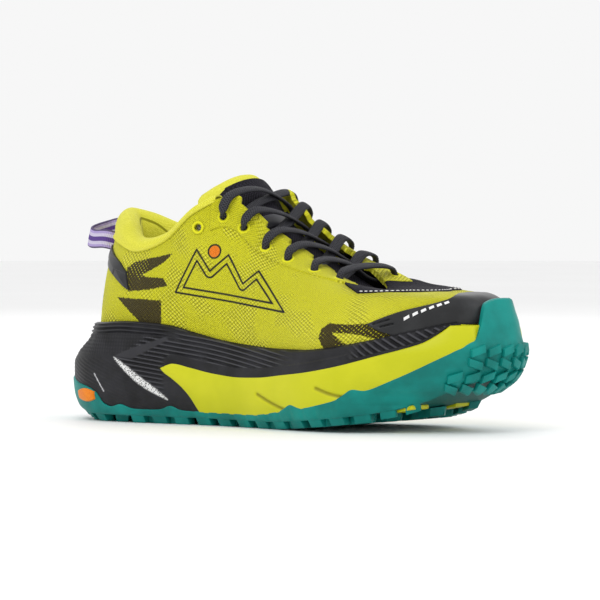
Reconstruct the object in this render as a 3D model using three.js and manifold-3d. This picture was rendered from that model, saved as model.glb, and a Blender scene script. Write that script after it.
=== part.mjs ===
// A right-foot trail running shoe, as an assembly of its real pieces.
// Millimetres, +Z up, +X from heel to toe, -Y is the lateral (outer) side.
// The patterns below are drawn for one base size and graded to the driving dimensions.

import * as THREE from 'three';
import { mergeVertices } from 'three/addons/utils/BufferGeometryUtils.js';
import Module from 'manifold-3d';

const wasm = await Module();
wasm.setup();

// ---- driving dimensions ----
const SHOE_LENGTH = 306;       // sole, from heel to toe
const BALL_WIDTH = 112;        // sole, at its widest
const UPPER_RISE = 87;         // from the foot bed at the heel to the top eyelet corner
const HEEL_BED = 44;           // foot bed above the ground at the heel
const LUG_HEIGHT = 4.3;
const RUBBER = 2.7;            // thickness of the outsole's rubber
const CLOTH = 1.8;             // thickness of the woven upper
const FILM = 0.7;              // films and tapes on the upper
const STROBEL = 1.4;
const SOCKLINER = 4;
const COVER_CLOTH = 0.8;       // cloth on the sockliner
const COUNTER = 1.2;
const LINING = 1.0;
const TONGUE_FOAM = 4;
const TONGUE_CLOTH = 0.9;
const LACE = 3.6;              // lace diameter
const AGLET_LENGTH = 20;
const WEBBING = [11.5, 1.6];   // pull loop, width and thickness
const GAP = 0.35;              // between pieces that touch
const FILM_GAP = 0.8;          // under a film, whose facets don't follow those of the cloth

// ---- base size of the patterns ----
const BASE = { length: 306, width: 112, rise: 87, bed: 44, heelX: -6 };
const gradeX = (x) => BASE.heelX + (x - BASE.heelX) * SHOE_LENGTH / BASE.length;
const ungradeX = (x) => BASE.heelX + (x - BASE.heelX) * BASE.length / SHOE_LENGTH;
const gradeY = (y) => y * BALL_WIDTH / BASE.width;
const gradeSole = (z) => z * HEEL_BED / BASE.bed;
const gradeUpper = (z) => HEEL_BED + (z - BASE.bed) * UPPER_RISE / BASE.rise;

const LOOPS = 52;              // points round the shoe, two to a station
const WALL_ROWS = 7;           // rows of the upper above the cradle's rim

// ---- patterns: 26 stations round the shoe, heel centre, lateral side, toe, medial side ----
// sole outline x, y | wall inset | lower handle out, up | top edge x, y, z | upper handle out, up
const STATIONS = [
  [-6, 0, 17.5, 4, 22, 17, 0, 112, 5.5, -22],
  [3, -28, 16, 4, 22, 24, -15, 109.5, 5.5, -22],
  [25, -45, 13.5, 4, 20, 38, -27, 105.5, 6, -20],
  [55, -48, 11, 4, 18, 58, -35, 101, 5, -20],
  [85, -45.5, 9.5, 4, 20, 82, -38, 107.5, 3, -22],
  [112, -43.5, 8.5, 5, 22, 104, -37, 124.5, 3, -28],
  [140, -45.5, 8, 7, 24, 123, -27, 131, 9, -26],
  [170, -51, 8, 7, 24, 145, -20.5, 113, 16, -14],
  [200, -56.5, 8, 6, 22, 165, -19.5, 102, 20, -9],
  [230, -55, 8, 6, 20, 183, -18.5, 92.5, 24, -4],
  [257, -45, 8.5, 5, 19, 197, -16, 85, 34, 0],
  [280, -30, 9, 4, 20, 206, -11, 81, 52, 0.5],
  [295, -11, 9.5, 3, 21, 210, -5, 79.5, 68, 0],
  [300, 8, 10, 3, 22, 211, 1, 79, 72, 0],
  [294, 22, 9.5, 3, 21, 210, 6, 79.5, 68, 0],
  [284, 33, 9, 4, 20, 206, 12, 81.5, 54, 0.5],
  [262, 44.5, 8.5, 5, 19, 197, 17, 86.5, 34, 0],
  [235, 53.5, 8, 6, 20, 183, 19.5, 95.5, 24, -4],
  [208, 55, 8, 6, 22, 165, 20.5, 106, 20, -9],
  [178, 49, 8, 7, 24, 145, 21.5, 117.5, 16, -15],
  [150, 41.5, 8, 7, 24, 123, 27, 133, 9, -26],
  [120, 37.5, 8.5, 5, 22, 104, 35, 126.5, 3, -28],
  [90, 39.5, 9.5, 4, 20, 82, 36, 110.5, 3, -22],
  [62, 44, 11, 4, 18, 58, 33.5, 103, 5, -20],
  [28, 44, 13.5, 4, 20, 38, 26.5, 105.5, 6, -20],
  [4, 27, 16, 4, 22, 24, 15, 109.5, 5.5, -22],
];
const STATION_COUNT = STATIONS.length;
const TOE = STATION_COUNT / 2;

// Heights along the shoe, [x, z] in the base size.
const GROUND_LINE = [[-6, 7], [4, 4], [12, 2], [20, 0.7], [30, 0], [160, 0], [180, 1], [200, 2.6],
  [222, 4.7], [250, 8.7], [267, 13], [280, 18.5], [290, 24], [300, 29]];
const RUBBER_LINE = [[-6, 27], [2, 26], [15, 23], [30, 20], [36, 17], [41, 11], [47, 9], [70, 8.4],
  [150, 8.4], [182, 12], [197, 14], [216, 18], [227, 21], [239, 25], [255, 32], [263, 36],
  [277, 44], [284, 48.5], [290, 53], [296, 57], [300, 59]];
const FOAM_LINE = [[84, 33], [93, 36], [105, 34], [123, 31], [143, 29.5], [160, 30], [179, 32],
  [197, 34], [220, 38], [240, 43], [258, 48], [270, 52], [277, 55]];
const RIM_LINE = [[-6, 57], [33, 58], [53, 59], [76, 58], [87, 57], [104, 53], [121, 49.5],
  [142, 47], [171, 45.5], [190, 45.5], [209, 47], [226, 49.5], [240, 52], [253, 55], [266, 58],
  [275, 60], [288, 62.5], [300, 64]];
const BED_LINE = [[0, 44], [60, 44], [90, 43], [120, 41], [150, 39.5], [190, 39], [215, 41],
  [240, 46], [255, 50], [265, 53], [275, 55.5], [288, 58]];

// How far the side wall stands in from the widest outline, [height, inset].
const HEEL_WALL = [[0, 13], [3, 8], [9, 3.2], [17, 0.6], [26, 0], [34, 0], [40, 3], [44, 7],
  [50, 13], [58, 15]];
const SIDE_WALL = [[0, 7], [0.1, 4], [0.2, 2], [0.35, 0.5], [0.5, 0], [0.7, 0.8], [0.85, 2.4],
  [1, 5]];
const TOE_WALL = [[16, 27], [21, 20], [25, 12], [30, 6], [37, 2.3], [46, 0], [57, 2.3], [62, 3.2],
  [69, 5.4], [77, 7.4]];

// ---- small mathematics ----

// A smooth curve through [x, y] points that never overshoots them.
function profile(points) {
  const n = points.length;
  const slope = [];
  for (let i = 0; i < n - 1; i += 1) {
    slope.push((points[i + 1][1] - points[i][1]) / (points[i + 1][0] - points[i][0]));
  }
  const tangent = points.map((_, i) => {
    if (i === 0) return slope[0];
    if (i === n - 1) return slope[n - 2];
    const [a, b] = [slope[i - 1], slope[i]];
    return a * b <= 0 ? 0 : 2 * a * b / (a + b);
  });
  return (x) => {
    if (x <= points[0][0]) return points[0][1];
    if (x >= points[n - 1][0]) return points[n - 1][1];
    let i = 0;
    while (x > points[i + 1][0]) i += 1;
    const span = points[i + 1][0] - points[i][0];
    const u = (x - points[i][0]) / span;
    const [u2, u3] = [u * u, u * u * u];
    return points[i][1] * (2 * u3 - 3 * u2 + 1) + points[i + 1][1] * (3 * u2 - 2 * u3)
      + span * (tangent[i] * (u3 - 2 * u2 + u) + tangent[i + 1] * (u3 - u2));
  };
}

const lerp = THREE.MathUtils.lerp;
const clamp = THREE.MathUtils.clamp;
const vec = (x, y, z = 0) => new THREE.Vector3(x, y, z);
const range = (count, from = 0, to = 1) => Array.from(
  { length: count }, (_, i) => lerp(from, to, i / (count - 1)));

// A closed curve through one vector per station; k counts stations and may be fractional.
function ring(points) {
  const curve = new THREE.CatmullRomCurve3(points, true, 'catmullrom', 0.5);
  return (k) => curve.getPoint((((k % STATION_COUNT) + STATION_COUNT) % STATION_COUNT) / STATION_COUNT);
}

const alongShoe = (line, grade) => {
  const curve = profile(line);
  return (x) => grade(curve(ungradeX(x)));
};

const groundZ = alongShoe(GROUND_LINE, gradeSole);
const rubberZ = alongShoe(RUBBER_LINE, gradeSole);
const foamZ = alongShoe(FOAM_LINE, gradeSole);
const rimZ = alongShoe(RIM_LINE, gradeSole);
const bedZ = alongShoe(BED_LINE, gradeSole);
const treadZ = (x) => groundZ(x) + LUG_HEIGHT;

// ---- the sole's outer surface ----

const outline = ring(STATIONS.map((s) => vec(gradeX(s[0]), gradeY(s[1]))));

function outward(k) {
  const step = outline(k + 0.05).sub(outline(k - 0.05)).normalize();
  return vec(step.y, -step.x);
}

const heelWall = profile(HEEL_WALL);
const sideWall = profile(SIDE_WALL);
const toeWall = profile(TOE_WALL);

function wallInset(k, z) {
  const { x } = outline(k);
  const n = outward(k);
  const base = z * BASE.bed / HEEL_BED;
  const share = clamp((z - groundZ(x)) / (rimZ(x) - groundZ(x)), 0, 1);
  const heel = clamp(-n.x, 0, 1) * (ungradeX(x) < 100 ? 1 : 0);
  const toe = clamp((n.x - 0.1) / 0.7, 0, 1) * (ungradeX(x) > 200 ? 1 : 0);
  return heel * heelWall(base) + toe * toeWall(base) + (1 - heel - toe) * sideWall(share);
}

// A point on the sole's outside at height z, moved in by inset.
function solePoint(k, z, inset = 0) {
  const p = outline(k);
  return p.addScaledVector(outward(k), -(wallInset(k, z) + inset)).setZ(z);
}

// ---- the upper's outer surface: a Bezier curve at each station, from the bed to the top edge ----

const FEATHER_INSET = 2;       // the upper's lower edge, in from its wall
const FEATHER_LIFT = 0.5;      // and above the bed
const topEdge = ring(STATIONS.map((s) => vec(gradeX(s[5]), gradeY(s[6]), gradeUpper(s[7]))));
const lowerHandle = ring(STATIONS.map((s) => vec(s[3], s[4] * UPPER_RISE / BASE.rise)));
const upperHandle = ring(STATIONS.map((s) => vec(
  s[8] * SHOE_LENGTH / BASE.length, s[9] * UPPER_RISE / BASE.rise)));
const wallStand = ring(STATIONS.map((s) => vec(s[2], 0)));

function featherPoint(k) {
  const p = outline(k).addScaledVector(outward(k), -(wallStand(k).x + FEATHER_INSET));
  return p.setZ(bedZ(p.x) + FEATHER_LIFT);
}

function upperCurve(k) {
  const n = outward(k);
  const foot = featherPoint(k);
  const top = topEdge(k);
  const [low, high] = [lowerHandle(k), upperHandle(k)];
  return new THREE.CubicBezierCurve3(
    foot,
    foot.clone().addScaledVector(n, low.x).add(vec(0, 0, low.y)),
    top.clone().addScaledVector(n, high.x).add(vec(0, 0, high.y)),
    top,
  );
}

const upperPoint = (k, t) => upperCurve(k).getPoint(clamp(t, 0, 1));

function upperNormal(k, t) {
  const e = 0.02;
  const along = upperPoint(k + e, t).sub(upperPoint(k - e, t));
  const up = upperPoint(k, Math.min(t + e, 1)).sub(upperPoint(k, Math.max(t - e, 0)));
  return along.cross(up).normalize();
}

// A point of the upper moved out along its normal.
const onUpper = (k, t, off) => upperPoint(k, t).addScaledVector(upperNormal(k, t), off);

// Where the upper's curve at k passes height z.
function heightShare(k, z) {
  const curve = upperCurve(k);
  let [low, high] = [0, 0.9];
  for (let i = 0; i < 24; i += 1) {
    const mid = (low + high) / 2;
    if (curve.getPoint(mid).z < z) low = mid;
    else high = mid;
  }
  return low;
}

const rimShare = (k) => heightShare(k, rimZ(outline(k).x));

// The share t that lies the distance mm below the top edge.
function belowTop(k, mm) {
  const curve = upperCurve(k);
  const top = curve.getPoint(1);
  let [low, high] = [0.3, 1];
  for (let i = 0; i < 24; i += 1) {
    const mid = (low + high) / 2;
    if (curve.getPoint(mid).distanceTo(top) > mm) low = mid;
    else high = mid;
  }
  return low;
}

// ---- meshes ----

function solidOf(vertices, faces) {
  const position = new Float32Array(vertices.flatMap((v) => [v.x, v.y, v.z]));
  let volume = 0;
  for (const [a, b, c] of faces) {
    volume += vertices[a].dot(vertices[b].clone().cross(vertices[c]));
  }
  const wound = volume > 0 ? faces : faces.map(([a, b, c]) => [a, c, b]);
  const geometry = new THREE.BufferGeometry();
  geometry.setAttribute('position', new THREE.BufferAttribute(position, 3));
  geometry.setIndex(wound.flat());
  return geometry;
}

function quad(faces, a, b, c, d) {
  faces.push([a, b, c], [a, c, d]);
}

// The cap of a loop that runs from the heel down one side and back up the other.
function capFaces(faces, first, count) {
  const at = (i) => first + ((i % count) + count) % count;
  faces.push([at(0), at(1), at(-1)]);
  for (let i = 1; i < count / 2 - 1; i += 1) quad(faces, at(i), at(i + 1), at(-i - 1), at(-i));
  faces.push([at(count / 2 - 1), at(count / 2), at(count / 2 + 1)]);
}

// Loops stacked into a solid: capped at both ends, or joined end to end.
function loopSolid(loops, capped = true) {
  const n = loops[0].length;
  const faces = [];
  const last = capped ? loops.length - 1 : loops.length;
  for (let j = 0; j < last; j += 1) {
    const [a, b] = [j * n, ((j + 1) % loops.length) * n];
    for (let i = 0; i < n; i += 1) {
      const next = (i + 1) % n;
      quad(faces, a + i, a + next, b + next, b + i);
    }
  }
  if (capped) {
    const ends = [];
    capFaces(ends, 0, n);
    faces.push(...ends.map(([a, b, c]) => [a, c, b]));
    capFaces(faces, (loops.length - 1) * n, n);
  }
  return solidOf(loops.flat(), faces);
}

// A sheet with thickness, between two grids of the same size.
function sheetSolid(front, back) {
  const rows = front.length;
  const cols = front[0].length;
  const faces = [];
  const half = rows * cols;
  const at = (i, j) => i * cols + j;
  for (let i = 0; i < rows - 1; i += 1) {
    for (let j = 0; j < cols - 1; j += 1) {
      quad(faces, at(i, j), at(i, j + 1), at(i + 1, j + 1), at(i + 1, j));
      quad(faces, half + at(i, j), half + at(i + 1, j), half + at(i + 1, j + 1), half + at(i, j + 1));
    }
  }
  const edge = [];
  for (let j = 0; j < cols - 1; j += 1) edge.push([at(0, j + 1), at(0, j)]);
  for (let i = 0; i < rows - 1; i += 1) edge.push([at(i, 0), at(i + 1, 0)]);
  for (let j = 0; j < cols - 1; j += 1) edge.push([at(rows - 1, j), at(rows - 1, j + 1)]);
  for (let i = 0; i < rows - 1; i += 1) edge.push([at(i + 1, cols - 1), at(i, cols - 1)]);
  for (const [a, b] of edge) quad(faces, a, b, half + b, half + a);
  return solidOf([...front.flat(), ...back.flat()], faces);
}

// The same grid of surface places, made solid between two distances from that surface.
function patch(places, surface, from, to) {
  const layer = (off) => places.map((row) => row.map(([k, t]) => surface(k, t, off)));
  return sheetSolid(layer(to), layer(from));
}

function manifoldOf(geometry) {
  const plain = geometry.clone();
  plain.deleteAttribute('normal');
  plain.deleteAttribute('uv');
  const merged = mergeVertices(plain, 1e-4);
  return new wasm.Manifold(new wasm.Mesh({
    numProp: 3,
    vertProperties: merged.attributes.position.array,
    triVerts: new Uint32Array(merged.index.array),
  }));
}

function geometryOf(manifold) {
  const mesh = manifold.getMesh();
  const geometry = new THREE.BufferGeometry();
  geometry.setAttribute('position', new THREE.BufferAttribute(mesh.vertProperties, 3));
  geometry.setIndex([...mesh.triVerts]);
  return geometry;
}

const cutAway = (body, cutters) => geometryOf(cutters.reduce(
  (left, cutter) => left.subtract(manifoldOf(cutter)), manifoldOf(body)));

const aroundShoe = Array.from({ length: LOOPS }, (_, i) => i * STATION_COUNT / LOOPS);

// ---- outsole ----

const TAB_REACH = 1.15;        // half the toe tab, in stations
const TAB_TOP = 76;
const isTab = (k, margin = 0) => Math.abs(k - TOE) <= TAB_REACH + margin;
const rubberTop = (k) => (isTab(k) ? gradeSole(TAB_TOP) : rubberZ(outline(k).x));

const LUG_SIZE = [13, 15];     // along and across the shoe
const LUG_PITCH = 20;
const LUG_ROOT = 1.7;          // how far a lug reaches into the rubber
const LUG_EDGE = 5;            // lug centres stay this far and half a lug inside the tread's edge

const treadLoop = aroundShoe.map((k) => solePoint(k, treadZ(outline(k).x)));
const rubberUnder = profile(treadLoop.slice(1, LOOPS / 2 - 1).map((p) => [p.x, p.z]));

function lug(x, y, mirror) {
  const [long, wide] = LUG_SIZE.map((size) => size / 2);
  const shape = new THREE.Shape([
    [long, 0], [long * 0.35, wide], [-long, wide * 0.9], [-long * 0.45, 0],
    [-long, -wide * 0.9], [long * 0.35, -wide],
  ].map(([a, b]) => new THREE.Vector2(a * mirror, b)));
  const geometry = new THREE.ExtrudeGeometry(shape, { depth: LUG_HEIGHT + LUG_ROOT, bevelEnabled: false });
  const [rear, front] = [rubberUnder(x - long), rubberUnder(x + long)];
  geometry.rotateY(-Math.atan2(front - rear, 2 * long));
  geometry.translate(x, y, (rear + front) / 2 - LUG_HEIGHT);
  return geometry;
}

// Tread edge on each side at x, from the same points that the rubber is made of.
function treadEdges(x) {
  const side = (sign) => treadLoop.filter((p) => Math.sign(p.y - 2) === sign)
    .reduce((best, p) => (Math.abs(p.x - x) < Math.abs(best.x - x) ? p : best));
  return [side(-1).y, side(1).y];
}

function lugPlaces() {
  const places = [];
  const rows = Math.floor((SHOE_LENGTH - 78) / LUG_PITCH);
  for (let row = 0; row <= rows; row += 1) {
    const x = gradeX(26) + row * LUG_PITCH;
    const [low, high] = treadEdges(x).map((y, i) => y + (i ? -1 : 1) * (LUG_SIZE[1] / 2 + LUG_EDGE));
    const across = Math.max(2, Math.floor((high - low) / (LUG_SIZE[1] + 5)) + 1);
    for (const y of range(across, low, high)) places.push([x, y, row < rows / 2 ? -1 : 1]);
  }
  return places;
}

// Openings in the rubber that show the foam: x, y, length and width.
const WINDOWS = [[126, 0, 40, 22], [247, -22, 16, 16], [247, 20, 16, 16]];

function windowCutters() {
  return WINDOWS.map(([x, y, long, wide]) => new THREE.BoxGeometry(long, wide, 60)
    .translate(gradeX(x), gradeY(y), groundZ(gradeX(x))));
}

// Heights of the rows on the rubber's wall; inside, none is below the rubber's floor.
const rubberRow = (k, share) => lerp(treadZ(outline(k).x), rubberTop(k), share);
const innerRow = (k, share) => Math.max(rubberRow(k, share), treadZ(outline(k).x) + RUBBER + share);

function outsole() {
  const outer = (share) => aroundShoe.map((k) => solePoint(k, rubberRow(k, share)));
  const inner = (share) => aroundShoe.map((k) => solePoint(k, innerRow(k, share), RUBBER));
  const above = inner(1).map((p) => p.clone().add(vec(0, 0, 50)));
  const filled = manifoldOf(loopSolid([0, 0.35, 0.7, 1].map(outer)));
  const base = filled.subtract(manifoldOf(loopSolid([...[0, 0.35, 0.7, 1].map(inner), above])));
  const inWindow = ([x, y]) => WINDOWS.some(([cx, cy, long, wide]) => (
    Math.abs(x - gradeX(cx)) < (long + LUG_SIZE[0]) / 2
    && Math.abs(y - gradeY(cy)) < (wide + LUG_SIZE[1]) / 2));
  const lugs = lugPlaces().filter((place) => !inWindow(place)).map((place) => lug(...place));
  const treaded = lugs.reduce((body, piece) => body.add(manifoldOf(piece)), base);
  return geometryOf(windowCutters().reduce((body, cutter) => body.subtract(manifoldOf(cutter)), treaded));
}

// The plain lozenge on the outsole's heel.
const BADGE = { station: 2.05, z: 15.5, reach: 0.3, high: 8, thick: 0.9 };

function heelBadge() {
  const places = range(5, -1, 1).map((a) => range(3, -1, 1).map((b) => [
    BADGE.station + a * BADGE.reach,
    gradeSole(BADGE.z) + b * (1 - 0.45 * a * a) * BADGE.high / 2,
  ]));
  return patch(places, (k, z, off) => solePoint(k, z, -off), GAP, GAP + BADGE.thick);
}

// ---- midsole: one foam body, parted into the upper cradle and the lower layer ----

function midsoleBody() {
  const hidden = (k) => RUBBER + GAP * (isTab(k, 0.7) ? 2.5 : 1);
  const underTab = (k) => (isTab(k, 0.4) ? hidden(k) : 0);
  const rubberEdge = (k) => Math.min(rubberTop(k), rimZ(outline(k).x) - 3);
  const inRubber = (share) => aroundShoe.map((k) => {
    const z = Math.min(innerRow(k, share), rubberEdge(k));
    return solePoint(k, share % 1 ? z : z + GAP, hidden(k));
  });
  const outside = (share) => aroundShoe.map((k) => {
    const low = rubberEdge(k) + GAP;
    return solePoint(k, lerp(low, rimZ(outline(k).x), share), underTab(k));
  });
  const cradle = (share) => aroundShoe.map((k) => onUpper(k, rimShare(k) * share, GAP + 0.05));
  const bed = aroundShoe.map((k) => {
    const p = onUpper(k, 0, GAP + 0.05);
    return p.setZ(p.z - FEATHER_LIFT);
  });
  return loopSolid([
    ...[0, 0.35, 0.7, 1].map(inRubber), ...[0, 0.3, 0.6, 0.85, 1].map(outside), cradle(1), cradle(0.5), bed]);
}

const FOAM_FRONT = 276;        // in front of this the lower layer takes the whole height
const FOAM_TAIL = [[110, 8], [105, 16], [99, 22], [92, 27], [87, 30]];

// The lower layer's side view, grown by gap, drawn through the whole width.
function lowerLayerTool(gap) {
  const back = FOAM_LINE[0][0];
  const top = FOAM_LINE.map(([x, z]) => [gradeX(x) - (x === back ? gap : 0), gradeSole(z) + gap]);
  const tail = FOAM_TAIL.map(([x, z]) => [gradeX(x) - gap, gradeSole(z) - gap]);
  const front = gradeX(FOAM_FRONT) - gap;
  const points = [
    ...top.filter(([x]) => x < front), [front, foamZ(front) + gap], [front, 200], [500, 200], [500, -50],
    [gradeX(FOAM_TAIL[0][0]) - gap, -50], ...tail,
  ];
  const shape = new THREE.Shape(points.map(([x, z]) => new THREE.Vector2(x, z)));
  const geometry = new THREE.ExtrudeGeometry(shape, { depth: 400, bevelEnabled: false });
  return geometry.rotateX(Math.PI / 2).translate(0, 200, 0);
}

const foamBody = manifoldOf(midsoleBody());
const midsoleUpper = () => geometryOf(foamBody.subtract(manifoldOf(lowerLayerTool(GAP))));
const midsoleLower = () => geometryOf(foamBody.intersect(manifoldOf(lowerLayerTool(0))));

// ---- under the foot ----

// A plate between two heights above the bed, inside a wall; its edges may turn up round the heel.
function bedPlate(low, high, wall, lowLift = 0, highLift = 0) {
  const loop = (up, inset, lift) => aroundShoe.map((k) => {
    const { x } = featherPoint(k);
    const z = bedZ(x) + up + lift * CUP_SHAPE(ungradeX(x));
    const t = heightShare(k, z);
    return onUpper(k, t, -(wall(k) + inset)).setZ(z);
  });
  return loopSolid([loop(low, 12, 0), loop(low, 0, lowLift), loop(high, 0, highLift), loop(high, 12, 0)]);
}

const STROBEL_LOW = FEATHER_LIFT;
const SOCKLINER_LOW = STROBEL_LOW + STROBEL + GAP;
const COVER_LOW = SOCKLINER_LOW + SOCKLINER + FILM_GAP;
const SOCKLINER_CUP = 3;
const COUNTER_DEPTH = CLOTH + GAP + 0.25;
const LINING_FACE = COUNTER_DEPTH + COUNTER + GAP + 0.25 + LINING;
const COLLAR_REACH = 5.55;     // the collar's front ends, in stations from the heel
const fromHeel = (k) => Math.min(k, STATION_COUNT - k);
const clothWall = () => CLOTH + GAP + 0.15;
const sockWall = (k) => (fromHeel(k) < COLLAR_REACH + 0.8 ? LINING_FACE : CLOTH) + 3 * GAP;
const CUP_SHAPE = profile([[120, 1], [170, 0.2], [250, 0]]);

// ---- the upper and what lies on or in it ----

const wallShares = (k) => {
  const rim = rimShare(k);
  return [0, rim / 2, ...range(WALL_ROWS + 1, rim, 1)];
};

// The lace eyelets: stations along the throat, and how far they lie from its edge.
const EYELETS = [5.85, 6.45, 7.15, 7.95, 8.85, 9.8];
const SPARE_EYELET = 5.1;
const EYELET_SETBACK = 11;
const EYELET_RADIUS = LACE / 2 + 1.2;

const sideStation = (k, side) => (side < 0 ? k : STATION_COUNT - k);

function eyeletFrame(k, side) {
  const at = sideStation(k, side);
  const t = belowTop(at, EYELET_SETBACK);
  const centre = upperPoint(at, t);
  const normal = upperNormal(at, t);
  const inward = topEdge(at).sub(centre).normalize();
  return { centre, normal, inward };
}

function eyeletCutter(k, side) {
  const { centre, normal } = eyeletFrame(k, side);
  const cutter = new THREE.CylinderGeometry(EYELET_RADIUS, EYELET_RADIUS, 12, 10);
  cutter.applyQuaternion(new THREE.Quaternion().setFromUnitVectors(vec(0, 1, 0), normal));
  return cutter.translate(centre.x, centre.y, centre.z);
}

const eyeletCutters = (side) => [...EYELETS, SPARE_EYELET].map((k) => eyeletCutter(k, side));

function wovenUpper() {
  const rows = (off, shares) => shares.map((j) => aroundShoe.map((k) => onUpper(k, wallShares(k)[j], off)));
  const order = Array.from({ length: WALL_ROWS + 3 }, (_, j) => j);
  const shell = loopSolid([...rows(0, order), ...rows(-CLOTH, order.reverse())], false);
  return cutAway(shell, [...eyeletCutters(-1), ...eyeletCutters(1)]);
}

// A patch of the upper between two stations, from share low(k) to share high(k).
function upperPatch(stations, rows, low, high, from, to) {
  const places = stations.map((k) => range(rows, low(k), high(k)).map((t) => [k, t]));
  return patch(places, onUpper, from, to);
}

const onFilm = [FILM_GAP, FILM_GAP + FILM];
const RIM_CLEAR = 0.035;       // share of the wall between the rim and a film

const TOE_CAP_EDGE = profile([[0, 0.62], [0.4, 0.59], [1.27, 0.43], [2, 0.36], [2.7, 0.325], [3.1, 0.3], [3.5, 0.26]]);
const TOE_CAP_REACH = 3.5;

function toeCap() {
  const stations = range(27, TOE - TOE_CAP_REACH, TOE + TOE_CAP_REACH);
  return upperPatch(stations, 5, (k) => rimShare(k) + RIM_CLEAR,
    (k) => TOE_CAP_EDGE(Math.abs(k - TOE)), ...onFilm);
}

// The film on the heel, a kite whose lower point lies forward: its rear and front stations by height.
const KITE_REAR = profile([[0.6, 2.8], [0.655, 2.45], [0.705, 1.95], [0.76, 1.35], [0.82, 1.12]]);
const KITE_FRONT = profile([[0.6, 2.92], [0.69, 2.82], [0.76, 2.7], [0.82, 2.5]]);
const KITE_HEIGHTS = [0.6, 0.82];

function heelOverlay(side) {
  const places = range(8, ...KITE_HEIGHTS).map((t) => (
    range(5, KITE_REAR(t), KITE_FRONT(t)).map((k) => [sideStation(k, side), t])));
  return patch(places, onUpper, ...onFilm);
}

const EYESTAY_WIDTH = 17;

function eyestay(side) {
  const stations = range(11, 5.5, 10.5);
  const places = stations.map((k) => {
    const at = sideStation(k, side);
    return range(4, belowTop(at, EYESTAY_WIDTH), belowTop(at, 1)).map((t) => [at, t]);
  });
  const tape = patch(places, onUpper, ...onFilm);
  return cutAway(tape, eyeletCutters(side));
}

// The mesh panel on the vamp, from the throat down towards the toe cap.
const VAMP_REACH = 2.4;
const VAMP_LOW = profile([[0, 0.76], [0.72, 0.765], [1.64, 0.68], [2.32, 0.632], [3, 0.612]]);

function vampPanel() {
  const stations = range(17, TOE - VAMP_REACH, TOE + VAMP_REACH);
  return upperPatch(stations, 5, (k) => VAMP_LOW(Math.abs(k - TOE)), () => 0.985, ...onFilm);
}

const PUFF_FOOT = COVER_LOW + COVER_CLOTH + 1.5;   // clear of the sockliner

// Its stations are the upper's own, so that it follows the upper's facets.
function toePuff() {
  const stations = range(11, TOE - 2.5, TOE + 2.5);
  const depth = CLOTH + FILM_GAP + GAP / 2;
  return upperPatch(stations, 4, (k) => heightShare(k, bedZ(featherPoint(k).x) + PUFF_FOOT), () => 0.5,
    -depth, -depth - FILM);
}

const CUP_FOOT = COVER_LOW + COVER_CLOTH + SOCKLINER_CUP + 3;

const cupShare = (k) => heightShare(k, bedZ(featherPoint(k).x) + CUP_FOOT);

function heelCounter() {
  const stations = range(17, -3.6, 3.6);
  return upperPatch(stations, 5, cupShare, (k) => 0.66 - 0.012 * k * k,
    -COUNTER_DEPTH, -COUNTER_DEPTH - COUNTER);
}

function gusset(side) {
  const stations = range(9, 7.2, 10.2).map((k) => sideStation(k, side));
  const depth = CLOTH + FILM_GAP;
  return upperPatch(stations, 4, () => 0.4, () => 0.72, -depth, -depth - FILM);
}

// ---- collar: foam between the upper and a lining that rolls over the top edge ----

const ROLL_HEIGHT = profile([[0, 13], [1, 13], [2, 11.5], [3, 6.5], [4, 3.6], [5, 2.6], [5.6, 2.2]]);
const ROLL_DEPTH = profile([[0, 15], [1, 15], [2, 15], [3, 13], [4, 9.5], [5, 7.5], [5.6, 6.5]]);
const collarStations = range(35, -COLLAR_REACH, COLLAR_REACH);

// The lining's outer face at station k: over the roll, then down the inside of the shoe.
function liningPath(k, shrink) {
  const side = Math.abs(k);
  const depth = ROLL_DEPTH(side) - shrink;
  const height = ROLL_HEIGHT(side) - shrink;
  const top = topEdge(k);
  const n = outward(k);
  const roll = [[0.02, 0.06], [0.06, 0.5], [0.22, 0.86], [0.45, 1], [0.72, 0.88], [0.93, 0.5]];
  const lift = GAP + shrink;
  const over = roll.map(([along, up]) => top.clone()
    .addScaledVector(n, -(shrink * 0.9 + along * depth)).add(vec(0, 0, lift + up * height)));
  const foot = heightShare(k, bedZ(featherPoint(k).x) + SOCKLINER_LOW);
  const wall = LINING_FACE;
  const down = [[0.96, depth], [0.86, depth * 0.86], [0.72, wall + (depth - wall) * 0.35], [0.55, wall],
    [0.25, wall], [foot, wall]].map(([t, deep]) => (
    onUpper(k, Math.max(t, foot), -(Math.max(deep, wall) - shrink))));
  return [...over, ...down];
}

function collarLining() {
  const front = collarStations.map((k) => liningPath(k, 0));
  const back = collarStations.map((k) => liningPath(k, LINING));
  return sheetSolid(front, back);
}

// The foam fills the roll and the wall down to the counter.
function collarFoam() {
  const shrink = LINING + GAP;
  const skin = COUNTER_DEPTH + COUNTER + GAP;
  const stations = range(33, -COLLAR_REACH + 0.5, COLLAR_REACH - 0.5);
  const front = stations.map((k) => liningPath(k, shrink).slice(1, 9));
  const back = stations.map((k) => [0.985, 0.975, 0.96, 0.94, 0.91, 0.86, 0.78, 0.7].map((t, j) => {
    const deep = Math.min(skin, CLOTH + FILM_GAP + j * 0.5);
    return onUpper(k, t, -deep);
  }));
  return sheetSolid(front, back);
}

// ---- tongue ----

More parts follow.
